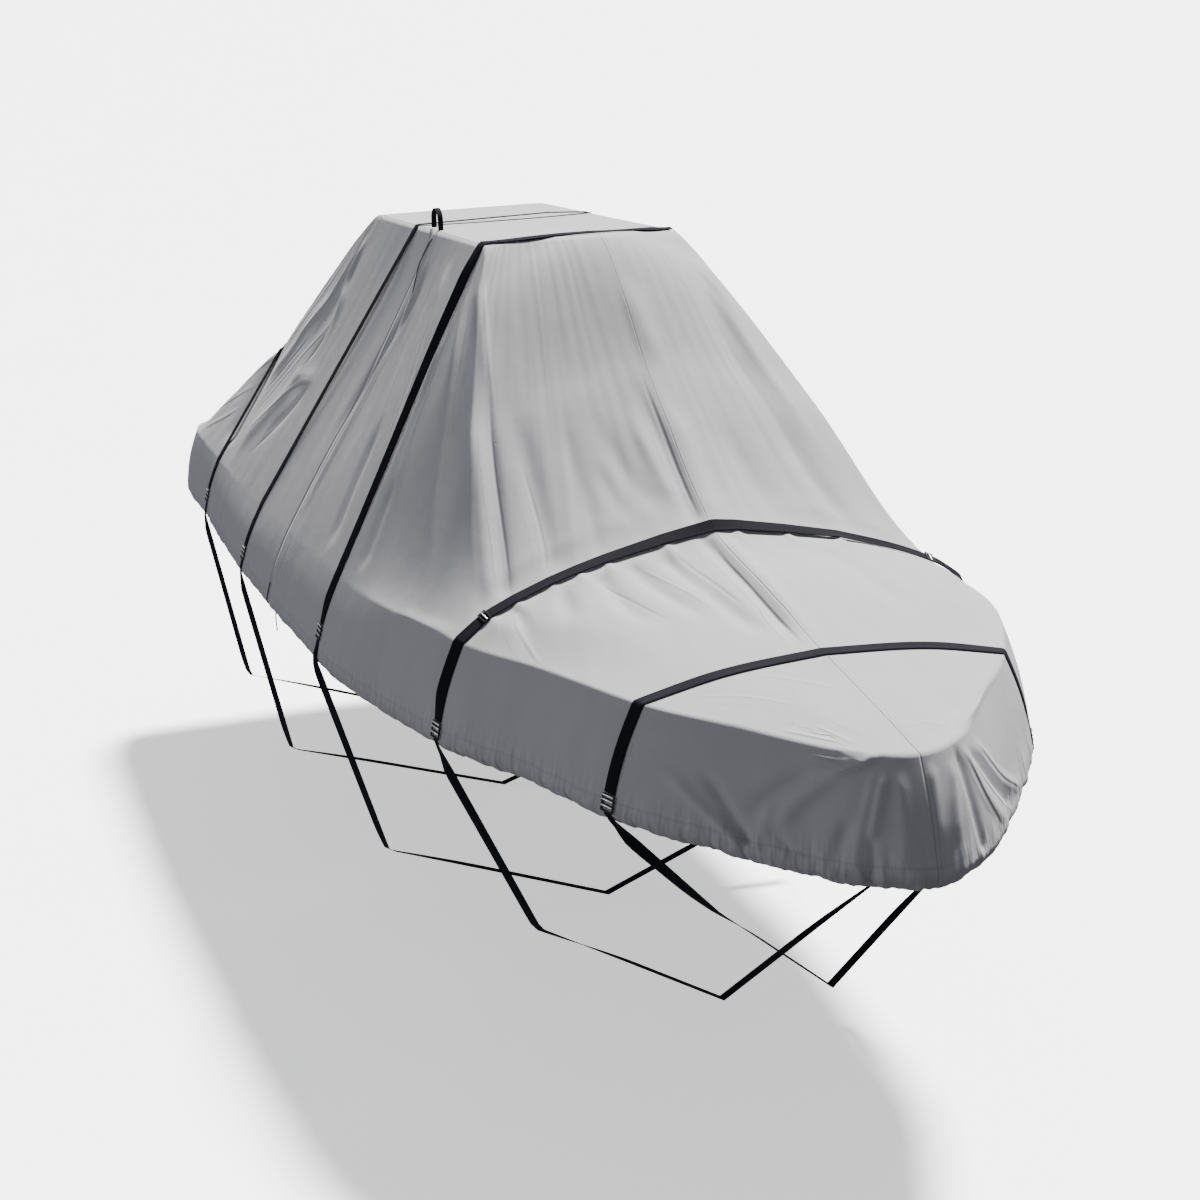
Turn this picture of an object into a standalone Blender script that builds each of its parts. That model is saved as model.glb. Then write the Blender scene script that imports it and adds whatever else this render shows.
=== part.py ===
"""Fitted cover for a centre-console boat, hung under its T-top and strapped down.

Metres, +X to the bow, +Y to port, +Z up.  The origin is the middle of the
underside of the cover's top panel.  The cloth is a thin sheet stretched from
the top's edge to the gunwale, with a skirt that turns in under the rub rail.
"""
import bpy
import bmesh
import numpy as np
from mathutils import Vector
from mathutils.bvhtree import BVHTree

# --- cloth ---
CLOTH_THICK = 0.002
SEAM_GAP = 0.0004
TOP_INSET = 0.006
TOP_HALF_LENGTH = 0.90
TOP_HALF_WIDTH = 0.42
TOP_FRONT_RISE = 0.05
TOP_FRONT_CROWN = 0.035
HEM_TUCK_IN = 0.045
HEM_TUCK_DOWN = 0.055
SKIRT_BELLY = 0.014
RIDGE_SHARPNESS = 0.7
HIP_SOFTNESS = 2.2
LEAST_SIDE_SPAN = 0.03
PAST_THE_CREASE = 1.05
PORT_FULLNESS = 0.10
PORT_FULL_X = 2.90
PORT_FULL_REACH = 0.42
DECK_ROWS = 10
DECK_ROW_CROWDING = 0.92
SKIRT_ROWS = 4
EDGE_BLEND_POWER = 5
FOLD_END_LIFT = 0.12

# Cross-sections along the boat: the ridge's height, the hip where the cloth
# turns down, the gunwale crease, the hem's height, and how steeply the cloth
# leaves the hip and lands on the crease, each beside the mean slope between them.
SECTION_COLUMNS = ("x", "ridge_z", "hip_half", "hip_z", "crease_half", "crease_z", "hem_z", "fall", "land")
SECTIONS = (
    (-2.70, -1.400, 1.050, -1.400, 1.100, -1.400, -1.740, 1.0, 1.0),
    (-2.35, -1.235, 1.035, -1.285, 1.125, -1.385, -1.730, 0.9, 1.0),
    (-1.95, -0.965, 0.890, -1.000, 1.137, -1.378, -1.715, 1.0, 1.0),
    (-1.60, -0.690, 0.735, -0.722, 1.142, -1.370, -1.705, 1.1, 1.0),
    (-1.27, -0.375, 0.585, -0.388, 1.150, -1.362, -1.705, 1.1, 1.0),
    (-1.04, -0.155, 0.480, -0.160, 1.154, -1.357, -1.705, 1.1, 1.0),
    (-0.90, -0.046, 0.420, -0.050, 1.155, -1.355, -1.705, 1.1, 1.0),
    (0.04, 0.004, 0.420, 0.002, 1.160, -1.330, -1.703, 1.2, 1.0),
    (0.90, 0.054, 0.430, 0.050, 1.155, -1.305, -1.695, 1.0, 1.0),
    (1.15, 0.040, 0.525, -0.118, 1.152, -1.292, -1.693, 1.0, 0.9),
    (1.69, -0.380, 0.742, -0.580, 1.120, -1.250, -1.660, 1.35, 0.45),
    (2.41, -0.872, 0.920, -1.122, 1.030, -1.200, -1.615, 0.7, 1.0),
    (2.90, -0.970, 0.620, -1.060, 0.860, -1.175, -1.600, 0.8, 1.0),
    (3.44, -1.068, 0.470, -1.112, 0.690, -1.160, -1.590, 0.9, 1.0),
    (3.90, -1.140, 0.200, -1.155, 0.360, -1.180, -1.610, 1.0, 1.0),
    (4.22, -1.195, 0.060, -1.195, 0.120, -1.195, -1.630, 1.0, 1.0),
)

# Tension lines of half the cover, from the bow round to the stern: where each
# leaves the top's edge, crosses the gunwale and reaches the rub rail, and how
# many columns of cloth lie between it and the next line.
LINE_COLUMNS = ("top_x", "top_y", "crease_x", "crease_y", "hem_x", "hem_y", "columns")
TENSION_LINES = {
    "bow centre": (1.15, 0.00, 4.20, 0.000, 4.345, 0.000, 5),
    "nose corner": (1.14, 0.08, 4.11, 0.190, 4.240, 0.230, 5),
    "bow shoulder": (1.10, 0.16, 3.78, 0.450, 3.900, 0.530, 5),
    "strap 1": (1.05, 0.23, 3.44, 0.695, 3.470, 0.805, 5),
    "bow quarter": (1.01, 0.29, 2.90, 0.865, 2.920, 0.970, 5),
    "strap 2": (0.97, 0.35, 2.41, 1.030, 2.420, 1.140, 5),
    "fore shoulder": (0.93, 0.40, 1.75, 1.115, 1.760, 1.225, 5),
    "strap 3": (0.87, 0.43, 1.11, 1.152, 1.110, 1.272, 7),
    "side seam": (0.10, 0.42, 0.04, 1.160, 0.040, 1.280, 5),
    "strap 4": (-0.30, 0.42, -0.55, 1.161, -0.550, 1.278, 5),
    "aft quarter": (-0.72, 0.42, -1.20, 1.155, -1.200, 1.255, 5),
    "strap 5": (-0.88, 0.39, -1.68, 1.140, -1.680, 1.225, 5),
    "stern quarter": (-0.90, 0.33, -2.38, 1.115, -2.390, 1.190, 4),
    "stern corner": (-0.90, 0.26, -2.66, 0.970, -2.700, 1.040, 6),
    "stern centre": (-0.90, 0.00, -2.69, 0.000, -2.730, 0.000, 0),
}
SEAM_LINE = "side seam"

# Folds of the sloping cloth, each along a line seen from above, from a start
# to an end; a negative height is a trough.  Negative y is starboard.
FOLD_COLUMNS = ("x0", "y0", "x1", "y1", "width", "height")
DECK_FOLDS = {
    "trough beside the seam, upper": (1.55, -0.05, 2.40, -0.07, 0.055, -0.028),
    "trough beside the seam, lower": (2.42, -0.06, 3.40, -0.06, 0.055, -0.030),
    "seam ridge": (1.30, 0.03, 3.30, 0.03, 0.05, 0.010),
    "front fan 1": (1.35, -0.36, 2.25, -0.80, 0.09, -0.030),
    "front fan 2": (1.45, -0.30, 2.38, -0.62, 0.08, -0.022),
    "front fan 3": (1.60, -0.20, 2.36, -0.42, 0.07, -0.018),
    "corner ridge": (1.00, -0.44, 1.66, -0.98, 0.07, 0.024),
    "corner trough": (0.98, -0.48, 1.38, -1.06, 0.07, -0.020),
    "port corner ridge": (1.00, 0.44, 1.72, 0.98, 0.08, 0.022),
    "port front fan": (1.50, 0.30, 2.36, 0.70, 0.09, -0.022),
    "foredeck fan 1": (2.50, -0.55, 3.10, -0.62, 0.06, -0.012),
    "foredeck fan 2": (2.50, -0.35, 3.20, -0.44, 0.06, -0.012),
    "foredeck fan 3": (2.48, -0.20, 3.30, -0.26, 0.05, -0.012),
    "port foredeck fan": (2.50, 0.40, 3.20, 0.50, 0.07, -0.012),
    "side fold 1": (0.55, -0.46, 0.62, -1.10, 0.06, 0.014),
    "side fold 2": (0.30, -0.46, 0.28, -1.12, 0.05, -0.012),
    "port side fold 1": (0.50, 0.46, 0.55, 1.10, 0.06, 0.014),
    "port side fold 2": (-0.20, 0.46, -0.30, 1.10, 0.06, -0.014),
    "hip fold": (-0.98, -0.46, -2.10, -1.06, 0.06, 0.030),
    "hip trough": (-0.86, -0.52, -1.92, -1.10, 0.05, -0.024),
    "port hip fold": (-0.98, 0.46, -2.10, 1.04, 0.07, 0.026),
    "box corner ridge": (-0.98, -0.74, -1.48, -1.06, 0.06, 0.034),
    "box corner trough": (-0.86, -0.80, -1.20, -1.08, 0.05, -0.030),
    "strap 5 pinch": (-1.68, -0.62, -1.68, -1.10, 0.13, -0.050),
    "port strap 5 pinch": (-1.68, 0.62, -1.68, 1.10, 0.13, -0.040),
    "stern sag": (-1.60, -0.10, -2.30, 0.10, 0.45, -0.035),
}

# Folds of the skirt: the distance round the gunwale from the bow, signed to
# port, and the share of the skirt's depth, at the fold's start and end.
SKIRT_COLUMNS = ("round0", "depth0", "round1", "depth1", "width", "height")
SKIRT_FOLDS = {
    "nose fold": (-0.10, 0.05, -0.14, 1.0, 0.05, 0.020),
    "nose trough": (-0.20, 0.05, -0.27, 1.0, 0.05, -0.022),
    "burst ridge": (-0.24, 0.02, -0.62, 0.75, 0.07, 0.030),
    "burst trough": (-0.40, 0.20, -0.80, 0.95, 0.07, -0.026),
    "gather point": (-0.80, 0.30, -0.68, 1.0, 0.06, 0.022),
    "centre fold": (0.04, 0.10, 0.06, 1.0, 0.06, -0.016),
    "port corner fold 1": (0.21, 0.02, 0.30, 1.0, 0.05, -0.030),
    "port corner ridge": (0.25, 0.02, 0.44, 0.95, 0.05, 0.030),
    "port corner fold 2": (0.30, 0.05, 0.58, 0.90, 0.05, -0.026),
    "port shoulder ridge": (0.42, 0.05, 0.74, 0.90, 0.06, 0.022),
}
GATHER_STEP = 0.21
GATHER_DEPTH = 0.012
GATHER_REACH = 1.9

# --- webbing straps, each a closed loop round the cover and the hull ---
STRAP_WIDTH = 0.050
LOWER_STRAP_WIDTH = 0.032
STRAP_THICK = 0.003
STRAP_CLEAR = 0.0115
STRAP_SAMPLES = 480
STRAP_SKIRT_SAMPLES = 60
STRAP_TOLERANCE = 0.0012
STRAP_SIDE_Y = 1.15
STRAP_PIVOT_DROP = 0.25
CLEAR_OF_ALL = 2.3
TINY = 1e-7
BUCKLE_LENGTH = 0.070
BUCKLE_WIDTH = 0.062
BUCKLE_THICK = 0.008
BUCKLE_GAP = 0.002
BUCKLE_BEVEL = 0.0015
CLIP_LENGTH = 0.034
CLIP_THICK = 0.007
CLIP_OVERHANG = 0.004
CLIP_LIFT = 0.0015
CLIP_Y = 0.93

# Where each strap crosses the top or ridge and the gunwale, how low its
# buckles sit, and where its lower run turns at the chine and the keel.
STRAP_COLUMNS = ("over_x", "low_x", "buckle_z", "chine_y", "chine_z", "keel_x", "keel_z")
STRAPS = {
    "strap_1": (3.44, 3.44, -1.472, 0.420, -1.970, 3.50, -2.32),
    "strap_2": (2.41, 2.41, -1.495, 0.760, -2.400, 2.44, -2.84),
    "strap_3": (0.89, 0.985, -1.500, 1.000, -2.570, 1.04, -2.93),
    "strap_4": (-0.18, -0.55, -1.540, 1.080, -2.600, -0.55, -2.95),
    "strap_5": (-1.68, -1.68, -1.520, 1.050, -2.560, -1.70, -2.93),
}
FRONT_STRAP = "strap_3"
CLIP_STRAP = "strap_2"

# --- ties ---
TIE_DIAMETER = 0.006
TIE_CLEAR = 0.007
LOOP_X = 0.09
LOOP_HALF_SPAN = 0.055
LOOP_HEIGHT = 0.095
LOOP_WIDTH = 0.025
LOOP_THICK = 0.003
LOOP_FOOT_CLEAR = 0.004
LOOP_EDGE_INSET = 0.008
LOOP_ARC_STEP = 20
TIE_POINTS_PER_KNOT = 5
TIE_REACH_STEP = 0.05
TIE_COLUMNS = ("x", "z")
TOP_TIE = ((0.15, -0.020), (0.12, -0.070), (0.11, -0.130), (0.14, -0.190), (0.19, -0.250))
HEM_TIE = ((0.060, -1.560), (0.055, -1.620), (0.065, -1.680), (0.040, -1.740), (0.055, -1.800))

CLOTH_GREY = (0.36, 0.365, 0.375, 1.0)
CLOTH_ROUGHNESS = 0.85
WEBBING_BLACK = (0.012, 0.012, 0.018, 1.0)
WEBBING_ROUGHNESS = 0.7
BUCKLE_BLACK = (0.02, 0.02, 0.022, 1.0)
BUCKLE_ROUGHNESS = 0.45


# --- tables and curves ---
def column(rows, names, name):
    """One named column of a table."""
    place = names.index(name)
    return np.array([row[place] for row in rows])


def smooth_curve(knots, values, at):
    """Cubic curve through the knots that never overshoots a value."""
    knots = np.asarray(knots, float)
    values = np.asarray(values, float)
    step = np.diff(knots)
    rise = np.diff(values) / step
    slope = np.zeros(len(knots))
    slope[0] = rise[0]
    slope[-1] = rise[-1]
    same_way = rise[:-1] * rise[1:] > 0.0
    weight = (step[:-1] + step[1:]) / 2.0
    mean = (rise[:-1] * step[1:] + rise[1:] * step[:-1]) / (2.0 * weight)
    least = 2.0 * np.minimum(np.abs(rise[:-1]), np.abs(rise[1:]))
    slope[1:-1] = np.where(same_way, np.sign(mean) * np.minimum(np.abs(mean), least), 0.0)
    at = np.clip(at, knots[0], knots[-1])
    i = np.clip(np.searchsorted(knots, at) - 1, 0, len(step) - 1)
    h = step[i]
    t = (at - knots[i]) / h
    start = values[i] * (1 + 2 * t) * (1 - t) ** 2 + slope[i] * h * t * (1 - t) ** 2
    end = values[i + 1] * t * t * (3 - 2 * t) - slope[i + 1] * h * t * t * (1 - t)
    return start + end


def ring_curve(name, at, mirrored):
    """A tension-line column as a curve right round the cover."""
    half = column(TENSION_LINES.values(), LINE_COLUMNS, name)
    sign = -1.0 if mirrored else 1.0
    whole = np.concatenate([sign * half[:0:-1], half])
    knots = np.arange(len(whole)) - (len(half) - 1)
    return smooth_curve(knots, whole, at)


def section(name, x):
    """A cross-section column at a place along the boat."""
    return smooth_curve(column(SECTIONS, SECTION_COLUMNS, "x"), column(SECTIONS, SECTION_COLUMNS, name), x)


# --- the cloth's shape ---
def top_height(x, y):
    """The top panel's outer face: it rises a little to a crowned front edge."""
    along = x / TOP_HALF_LENGTH
    crown = TOP_FRONT_CROWN * (1.0 - (y / TOP_HALF_WIDTH) ** 2) * np.clip(along, 0.0, 1.0) ** 4
    return CLOTH_THICK + TOP_FRONT_RISE * along + crown


def port_fullness(x, y):
    """How much further out the gunwale stands on the port side of the foredeck."""
    return np.where(y > 0.0, PORT_FULLNESS * np.exp(-((x - PORT_FULL_X) / PORT_FULL_REACH) ** 2), 0.0)


def hermite(start, end, start_slope, end_slope, width, share):
    """Cubic between two heights with a slope at each."""
    rest = 1.0 - share
    first = start * (1.0 + 2.0 * share) + start_slope * width * share
    last = end * (3.0 - 2.0 * share) - end_slope * width * rest
    return first * rest ** 2 + last * share ** 2


def stretched_height(x, y):
    """Height of the cloth stretched from the ridge over the hip to the gunwale."""
    ridge, hip_z, crease_z = (section(name, x) for name in ("ridge_z", "hip_z", "crease_z"))
    fullness = port_fullness(x, y)
    hip = section("hip_half", x) + fullness
    outer = np.maximum(section("crease_half", x) + fullness - hip, LEAST_SIDE_SPAN)
    inner_slope = (hip_z - ridge) / hip
    outer_slope = (crease_z - hip_z) / outer
    leaving = section("fall", x) * outer_slope
    landing = section("land", x) * outer_slope
    arriving = np.maximum(leaving, HIP_SOFTNESS * inner_slope)
    across = np.abs(y)
    inside = np.clip(across / hip, 0.0, 1.0)
    outside = np.clip((across - hip) / outer, 0.0, PAST_THE_CREASE)
    top = hermite(ridge, hip_z, RIDGE_SHARPNESS * inner_slope, arriving, hip, inside)
    side = hermite(hip_z, crease_z, leaving, landing, outer, outside)
    return np.where(across < hip, top, side)


def fold_lift(place, table, names):
    """Sum of the folds near a place; each fades out at its ends."""
    lift = np.zeros(place.shape[:-1])
    for row in table.values():
        fold = dict(zip(names, row))
        start = np.array(row[0:2])
        run = np.array(row[2:4]) - start
        along = ((place - start) @ run) / (run @ run)
        nearest = start + np.clip(along, 0.0, 1.0)[..., None] * run
        away = np.linalg.norm(place - nearest, axis=-1)
        fade = np.sin(np.pi * np.clip(FOLD_END_LIFT + (1.0 - 2.0 * FOLD_END_LIFT) * along, 0.0, 1.0))
        lift += fold["height"] * fade * np.exp(-(away / fold["width"]) ** 2)
    return lift


def cloth_lines():
    """Where the cloth's columns run, numbered by tension line."""
    lines = list(TENSION_LINES.values())
    half = [0.0]
    for number, line in enumerate(lines[:-1]):
        count = line[-1]
        half += [number + (step + 1) / count for step in range(count)]
    return np.array([-at for at in half[:0:-1]] + half)


def cloth_grid():
    """Outer face of the deck and skirt: rows from the top's edge to the hem."""
    at = cloth_lines()
    top = np.stack([ring_curve("top_x", at, False), ring_curve("top_y", at, True)], axis=-1)
    crease = np.stack([ring_curve("crease_x", at, False), ring_curve("crease_y", at, True)], axis=-1)
    rail = np.stack([ring_curve("hem_x", at, False), ring_curve("hem_y", at, True)], axis=-1)
    for edge in (crease, rail):
        edge[:, 1] += port_fullness(edge[:, 0], edge[:, 1])
    round_way = np.concatenate([[0.0], np.cumsum(np.linalg.norm(np.diff(crease, axis=0), axis=1))])
    round_way -= round_way[len(at) // 2]

    rows = []
    top_z = top_height(top[:, 0], top[:, 1])
    mismatch = top_z - stretched_height(top[:, 0], top[:, 1])
    for down in np.linspace(0.0, 1.0, DECK_ROWS + 1) ** DECK_ROW_CROWDING:
        plan = top + (crease - top) * down
        height = stretched_height(plan[:, 0], plan[:, 1]) + mismatch * (1.0 - down) ** EDGE_BLEND_POWER
        rows.append(np.column_stack([plan, height]))

    tangent = np.gradient(rail, axis=0)
    outward = np.stack([tangent[:, 1], -tangent[:, 0]], axis=-1)
    outward /= np.linalg.norm(outward, axis=1)[:, None]
    crease_z = rows[-1][:, 2]
    hem_z = section("hem_z", crease[:, 0])
    rail_z = hem_z + HEM_TUCK_DOWN
    for down in np.arange(1, SKIRT_ROWS + 1) / SKIRT_ROWS:
        belly = SKIRT_BELLY * np.sin(np.pi * down)
        plan = crease + (rail - crease) * down + outward * belly
        rows.append(np.column_stack([plan, crease_z + (rail_z - crease_z) * down]))
    rows.append(np.column_stack([rail - outward * HEM_TUCK_IN, hem_z]))
    grid = np.array(rows)

    normal = grid_normals(grid)
    deck = slice(0, DECK_ROWS)
    lift = np.zeros(grid.shape[:2])
    lift[deck] = fold_lift(grid[deck, :, :2], DECK_FOLDS, FOLD_COLUMNS)
    lift[0] = 0.0
    for row in range(DECK_ROWS + 1, len(grid)):
        share = min(1.0, (row - DECK_ROWS) / SKIRT_ROWS)
        place = np.column_stack([round_way, np.full(len(at), share)])
        reach = np.exp(-(round_way / GATHER_REACH) ** 2)
        gathers = GATHER_DEPTH * share ** 2 * reach * np.sin(2 * np.pi * round_way / GATHER_STEP)
        lift[row] = fold_lift(place, SKIRT_FOLDS, SKIRT_COLUMNS) + gathers
    return grid + normal * lift[..., None]


def grid_normals(grid):
    """Unit normals of a grid of points, pointing out of the cover."""
    down = np.gradient(grid, axis=0)
    across = np.gradient(grid, axis=1)
    normal = np.cross(down, across)
    return normal / np.linalg.norm(normal, axis=-1)[..., None]


# --- making objects ---
def clear_scene():
    """Remove whatever the scene starts with."""
    for item in list(bpy.data.objects):
        bpy.data.objects.remove(item, do_unlink=True)


def material(name, colour, roughness):
    """A plain finish in one colour."""
    finish = bpy.data.materials.new(name)
    finish.use_nodes = True
    shader = finish.node_tree.nodes["Principled BSDF"]
    shader.inputs["Base Color"].default_value = colour
    shader.inputs["Roughness"].default_value = roughness
    shader.inputs["Metallic"].default_value = 0.0
    finish.diffuse_color = colour
    return finish


def add_part(name, shape, colour, roughness):
    """Put a mesh or curve in the cover's collection with a material of its own."""
    part = bpy.data.objects.new(name, shape)
    shape.materials.append(material(name + "_finish", colour, roughness))
    bpy.data.collections["boat_cover"].objects.link(part)
    return part


def loft(name, sections):
    """A closed solid through sections that each hold the same points in turn."""
    bm = bmesh.new()
    loops = [[bm.verts.new(point) for point in ring] for ring in sections]
    for first, second in zip(loops[:-1], loops[1:]):
        count = len(first)
        for i in range(count):
            j = (i + 1) % count
            bm.faces.new((first[i], first[j], second[j], second[i]))
    bm.faces.new(loops[0])
    bm.faces.new(loops[-1])
    bm.normal_update()
    bmesh.ops.recalc_face_normals(bm, faces=bm.faces)
    mesh = bpy.data.meshes.new(name)
    bm.to_mesh(mesh)
    bm.free()
    return mesh


def sheet_mesh(name, outer, normals, thickness):
    """A sheet of even thickness under a grid of outer points."""
    inner = outer - normals * thickness
    rows, columns = outer.shape[:2]
    bm = bmesh.new()
    layers = []
    for grid in (outer, inner):
        layers.append([[bm.verts.new(point) for point in row] for row in grid])
    for layer in layers:
        for i in range(rows - 1):
            for j in range(columns - 1):
                bm.faces.new((layer[i][j], layer[i][j + 1], layer[i + 1][j + 1], layer[i + 1][j]))
    top, under = layers
    rim = [(0, j) for j in range(columns)]
    rim += [(i, columns - 1) for i in range(1, rows)]
    rim += [(rows - 1, j) for j in range(columns - 2, -1, -1)]
    rim += [(i, 0) for i in range(rows - 2, 0, -1)]
    for here, there in zip(rim, rim[1:] + rim[:1]):
        a, b = top[here[0]][here[1]], top[there[0]][there[1]]
        c, d = under[there[0]][there[1]], under[here[0]][here[1]]
        bm.faces.new((a, b, c, d))
    bm.normal_update()
    bmesh.ops.recalc_face_normals(bm, faces=bm.faces)
    bmesh.ops.triangulate(bm, faces=bm.faces, quad_method="SHORT_EDGE")
    mesh = bpy.data.meshes.new(name)
    bm.to_mesh(mesh)
    bm.free()
    return mesh


def add_panels(grid):
    """The cloth cut into its sewn panels, a hair apart along each seam."""
    normals = grid_normals(grid)
    at = cloth_lines()
    seam = list(TENSION_LINES).index(SEAM_LINE)
    starboard = int(np.argmin(np.abs(at + seam)))
    bow = int(np.argmin(np.abs(at)))
    port = int(np.argmin(np.abs(at - seam)))
    last = len(at) - 1
    spans = {
        "cover_front_starboard": list(range(starboard, bow + 1)),
        "cover_front_port": list(range(bow, port + 1)),
        "cover_aft": list(range(port, last)) + list(range(0, starboard + 1)),
    }
    for name, span in spans.items():
        outer = grid[:, span].copy()
        for edge, beside in ((0, 1), (-1, -2)):
            inward = outer[:, beside] - outer[:, edge]
            inward /= np.linalg.norm(inward, axis=1)[:, None]
            outer[:, edge] += inward * SEAM_GAP / 2
        mesh = sheet_mesh(name, outer, normals[:, span], CLOTH_THICK)
        mesh.shade_smooth()
        add_part(name, mesh, CLOTH_GREY, CLOTH_ROUGHNESS)


def add_top(grid):
    """The closed top panel inside the ring of the deck's upper edge."""
    plan = grid[0, :-1, :2]
    reach = np.linalg.norm(plan, axis=1)[:, None]
    plan = plan * (reach - TOP_INSET) / reach
    outer = np.column_stack([plan, top_height(plan[:, 0], plan[:, 1])])
    inner = outer - np.array([0.0, 0.0, CLOTH_THICK])
    mesh = loft("cover_top", [outer, inner])
    bm = bmesh.new()
    bm.from_mesh(mesh)
    bmesh.ops.triangulate(bm, faces=bm.faces, ngon_method="BEAUTY")
    bm.to_mesh(mesh)
    bm.free()
    add_part("cover_top", mesh, CLOTH_GREY, CLOTH_ROUGHNESS)


# --- straps ---
def cloth_tree(grid):
    """A ray-testable copy of the cloth's outer face."""
    rows, columns = grid.shape[:2]
    points = [Vector(point) for point in grid.reshape(-1, 3)]
    faces = []
    for i in range(rows - 1):
        for j in range(columns - 1):
            a = i * columns + j
            faces.append((a, a + 1, a + columns + 1))
            faces.append((a, a + columns + 1, a + columns))
    faces.append(tuple(range(columns - 1)))
    return BVHTree.FromPolygons(points, faces)


def strap_x(name, row, y, z):
    """Where a strap runs along the boat at a place on its loop."""
    if z < row["buckle_z"] - BUCKLE_LENGTH:
        share = 1.0 - min(1.0, abs(y) / section("crease_half", row["low_x"]))
        return row["low_x"] + (row["keel_x"] - row["low_x"]) * share
    middle = row["over_x"]
    if name == FRONT_STRAP:
        bow_out = ring_curve("top_x", 0.0, False) - middle - STRAP_WIDTH
        middle += bow_out * (1.0 - min(1.0, abs(y) / TOP_HALF_WIDTH) ** 2)
    side = np.clip((abs(y) - TOP_HALF_WIDTH) / (STRAP_SIDE_Y - TOP_HALF_WIDTH), 0.0, 1.0)
    return middle + (row["low_x"] - row["over_x"]) * side


def taut_loop(points):
    """The taut line round a set of (y, z) points, from the keel by starboard and back."""
    ordered = sorted(set(map(tuple, points)))
    halves = []
    for row in (ordered, ordered[::-1]):
        half = []
        for point in row:
            while len(half) > 1:
                (y0, z0), (y1, z1) = half[-2:]
                if (y1 - y0) * (point[1] - z0) - (z1 - z0) * (point[0] - y0) < 0.0:
                    break
                half.pop()
            half.append(point)
        halves.append(half[:-1])
    loop = np.array(halves[0] + halves[1])
    return np.roll(loop, -int(np.argmin(loop[:, 1])), axis=0)


def strap_edge(name, row, shift, tree):
    """The taut loop that one edge of a strap follows over the cloth and the hull."""
    found = [(0.0, row["keel_z"])]
    found += [(side * row["chine_y"], row["chine_z"]) for side in (-1.0, 1.0)]
    hem_z = section("hem_z", row["low_x"])
    for y in np.linspace(-STRAP_SIDE_Y, STRAP_SIDE_Y, STRAP_SAMPLES + 1):
        start = Vector((strap_x(name, row, y, 0.0) + shift, y, CLEAR_OF_ALL))
        place = tree.ray_cast(start, Vector((0.0, 0.0, -1.0)))[0]
        if place is not None and place.z > hem_z + HEM_TUCK_DOWN:
            found.append((place.y, place.z + STRAP_CLEAR))
    crease_z = section("crease_z", row["low_x"])
    for side in (-1.0, 1.0):
        for z in np.linspace(hem_z, crease_z, STRAP_SKIRT_SAMPLES):
            start = Vector((row["low_x"] + shift, side * CLEAR_OF_ALL, z))
            place = tree.ray_cast(start, Vector((0.0, -side, 0.0)))[0]
            if place is not None:
                found.append((place.y + side * STRAP_CLEAR, z - STRAP_CLEAR))
    return taut_loop(found)


def angles_of(loop, pivot):
    """Turns of a loop's points round a pivot on the centre line, port positive, 0 upward."""
    return np.arctan2(loop[:, 0], loop[:, 1] - pivot)


def loop_at(loop, pivot, angle):
    """Where a ray from the pivot at an angle meets a taut loop."""
    ray = np.array([np.sin(angle), np.cos(angle)])
    for a, b in zip(loop, np.roll(loop, -1, axis=0)):
        run = b - a
        across = run[0] * ray[1] - run[1] * ray[0]
        if abs(across) < TINY:
            continue
        share = ((a[1] - pivot) * ray[0] - a[0] * ray[1]) / across
        place = a + share * run
        if -TINY <= share <= 1.0 + TINY and (place - (0.0, pivot)) @ ray > 0.0:
            return place
    raise ValueError("the pivot is outside the strap's loop")


def needed_points(lines):
    """The places along some lines that keep each within the tolerance of its true run."""
    kept = [0]
    for i in range(1, len(lines[0]) - 1):
        for line in lines:
            start = line[kept[-1]]
            way = line[i + 1] - start
            way /= np.linalg.norm(way)
            passed = line[kept[-1] + 1:i + 1] - start
            off = passed - np.outer(passed @ way, way)
            if np.linalg.norm(off, axis=1).max() > STRAP_TOLERANCE:
                kept.append(i)
                break
    return kept + [len(lines[0]) - 1]


def strap_part(name, row, loops, width, start, stop):
    """Both edges of a strap between two turns round its pivot."""
    pivot = row["buckle_z"] - STRAP_PIVOT_DROP
    turns = np.sort(np.concatenate([angles_of(loop, pivot) for loop in loops]))
    turns = [start] + [turn for turn in turns if start + TINY < turn < stop - TINY] + [stop]
    edges = []
    for loop, shift in zip(loops, (-width / 2, width / 2)):
        line = [loop_at(loop, pivot, turn) for turn in turns]
        edges.append(np.array([(strap_x(name, row, y, z) + shift, y, z) for y, z in line]))
    kept = needed_points(edges)
    return [edge[kept] for edge in edges]


def ribbon_mesh(name, edges, thickness):
    """Flat webbing between two edge lines, its thickness on the outer side."""
    first, second = edges
    middle = (first + second) / 2
    along = np.gradient(middle, axis=0)
    out = np.cross(along, first - second)
    out /= np.linalg.norm(out, axis=1)[:, None]
    rings = zip(first, second, second + out * thickness, first + out * thickness)
    return loft(name, [list(ring) for ring in rings])


def oriented_box(name, centre, along, across, size):
    """A bevelled box whose length runs along a given direction."""
    along = np.array(along) / np.linalg.norm(along)
    across = np.array(across) - np.dot(across, along) * along
    across /= np.linalg.norm(across)
    out = np.cross(across, along)
    bm = bmesh.new()
    bmesh.ops.create_cube(bm, size=1.0)
    for vert in bm.verts:
        local = vert.co
        spot = centre + across * local.x * size[0] + along * local.y * size[1] + out * local.z * size[2]
        vert.co = Vector(spot)
    bm.normal_update()
    bmesh.ops.bevel(bm, geom=bm.edges[:], offset=BUCKLE_BEVEL, segments=1, affect="EDGES")
    mesh = bpy.data.meshes.new(name)
    bm.to_mesh(mesh)
    bm.free()
    return mesh


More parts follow.
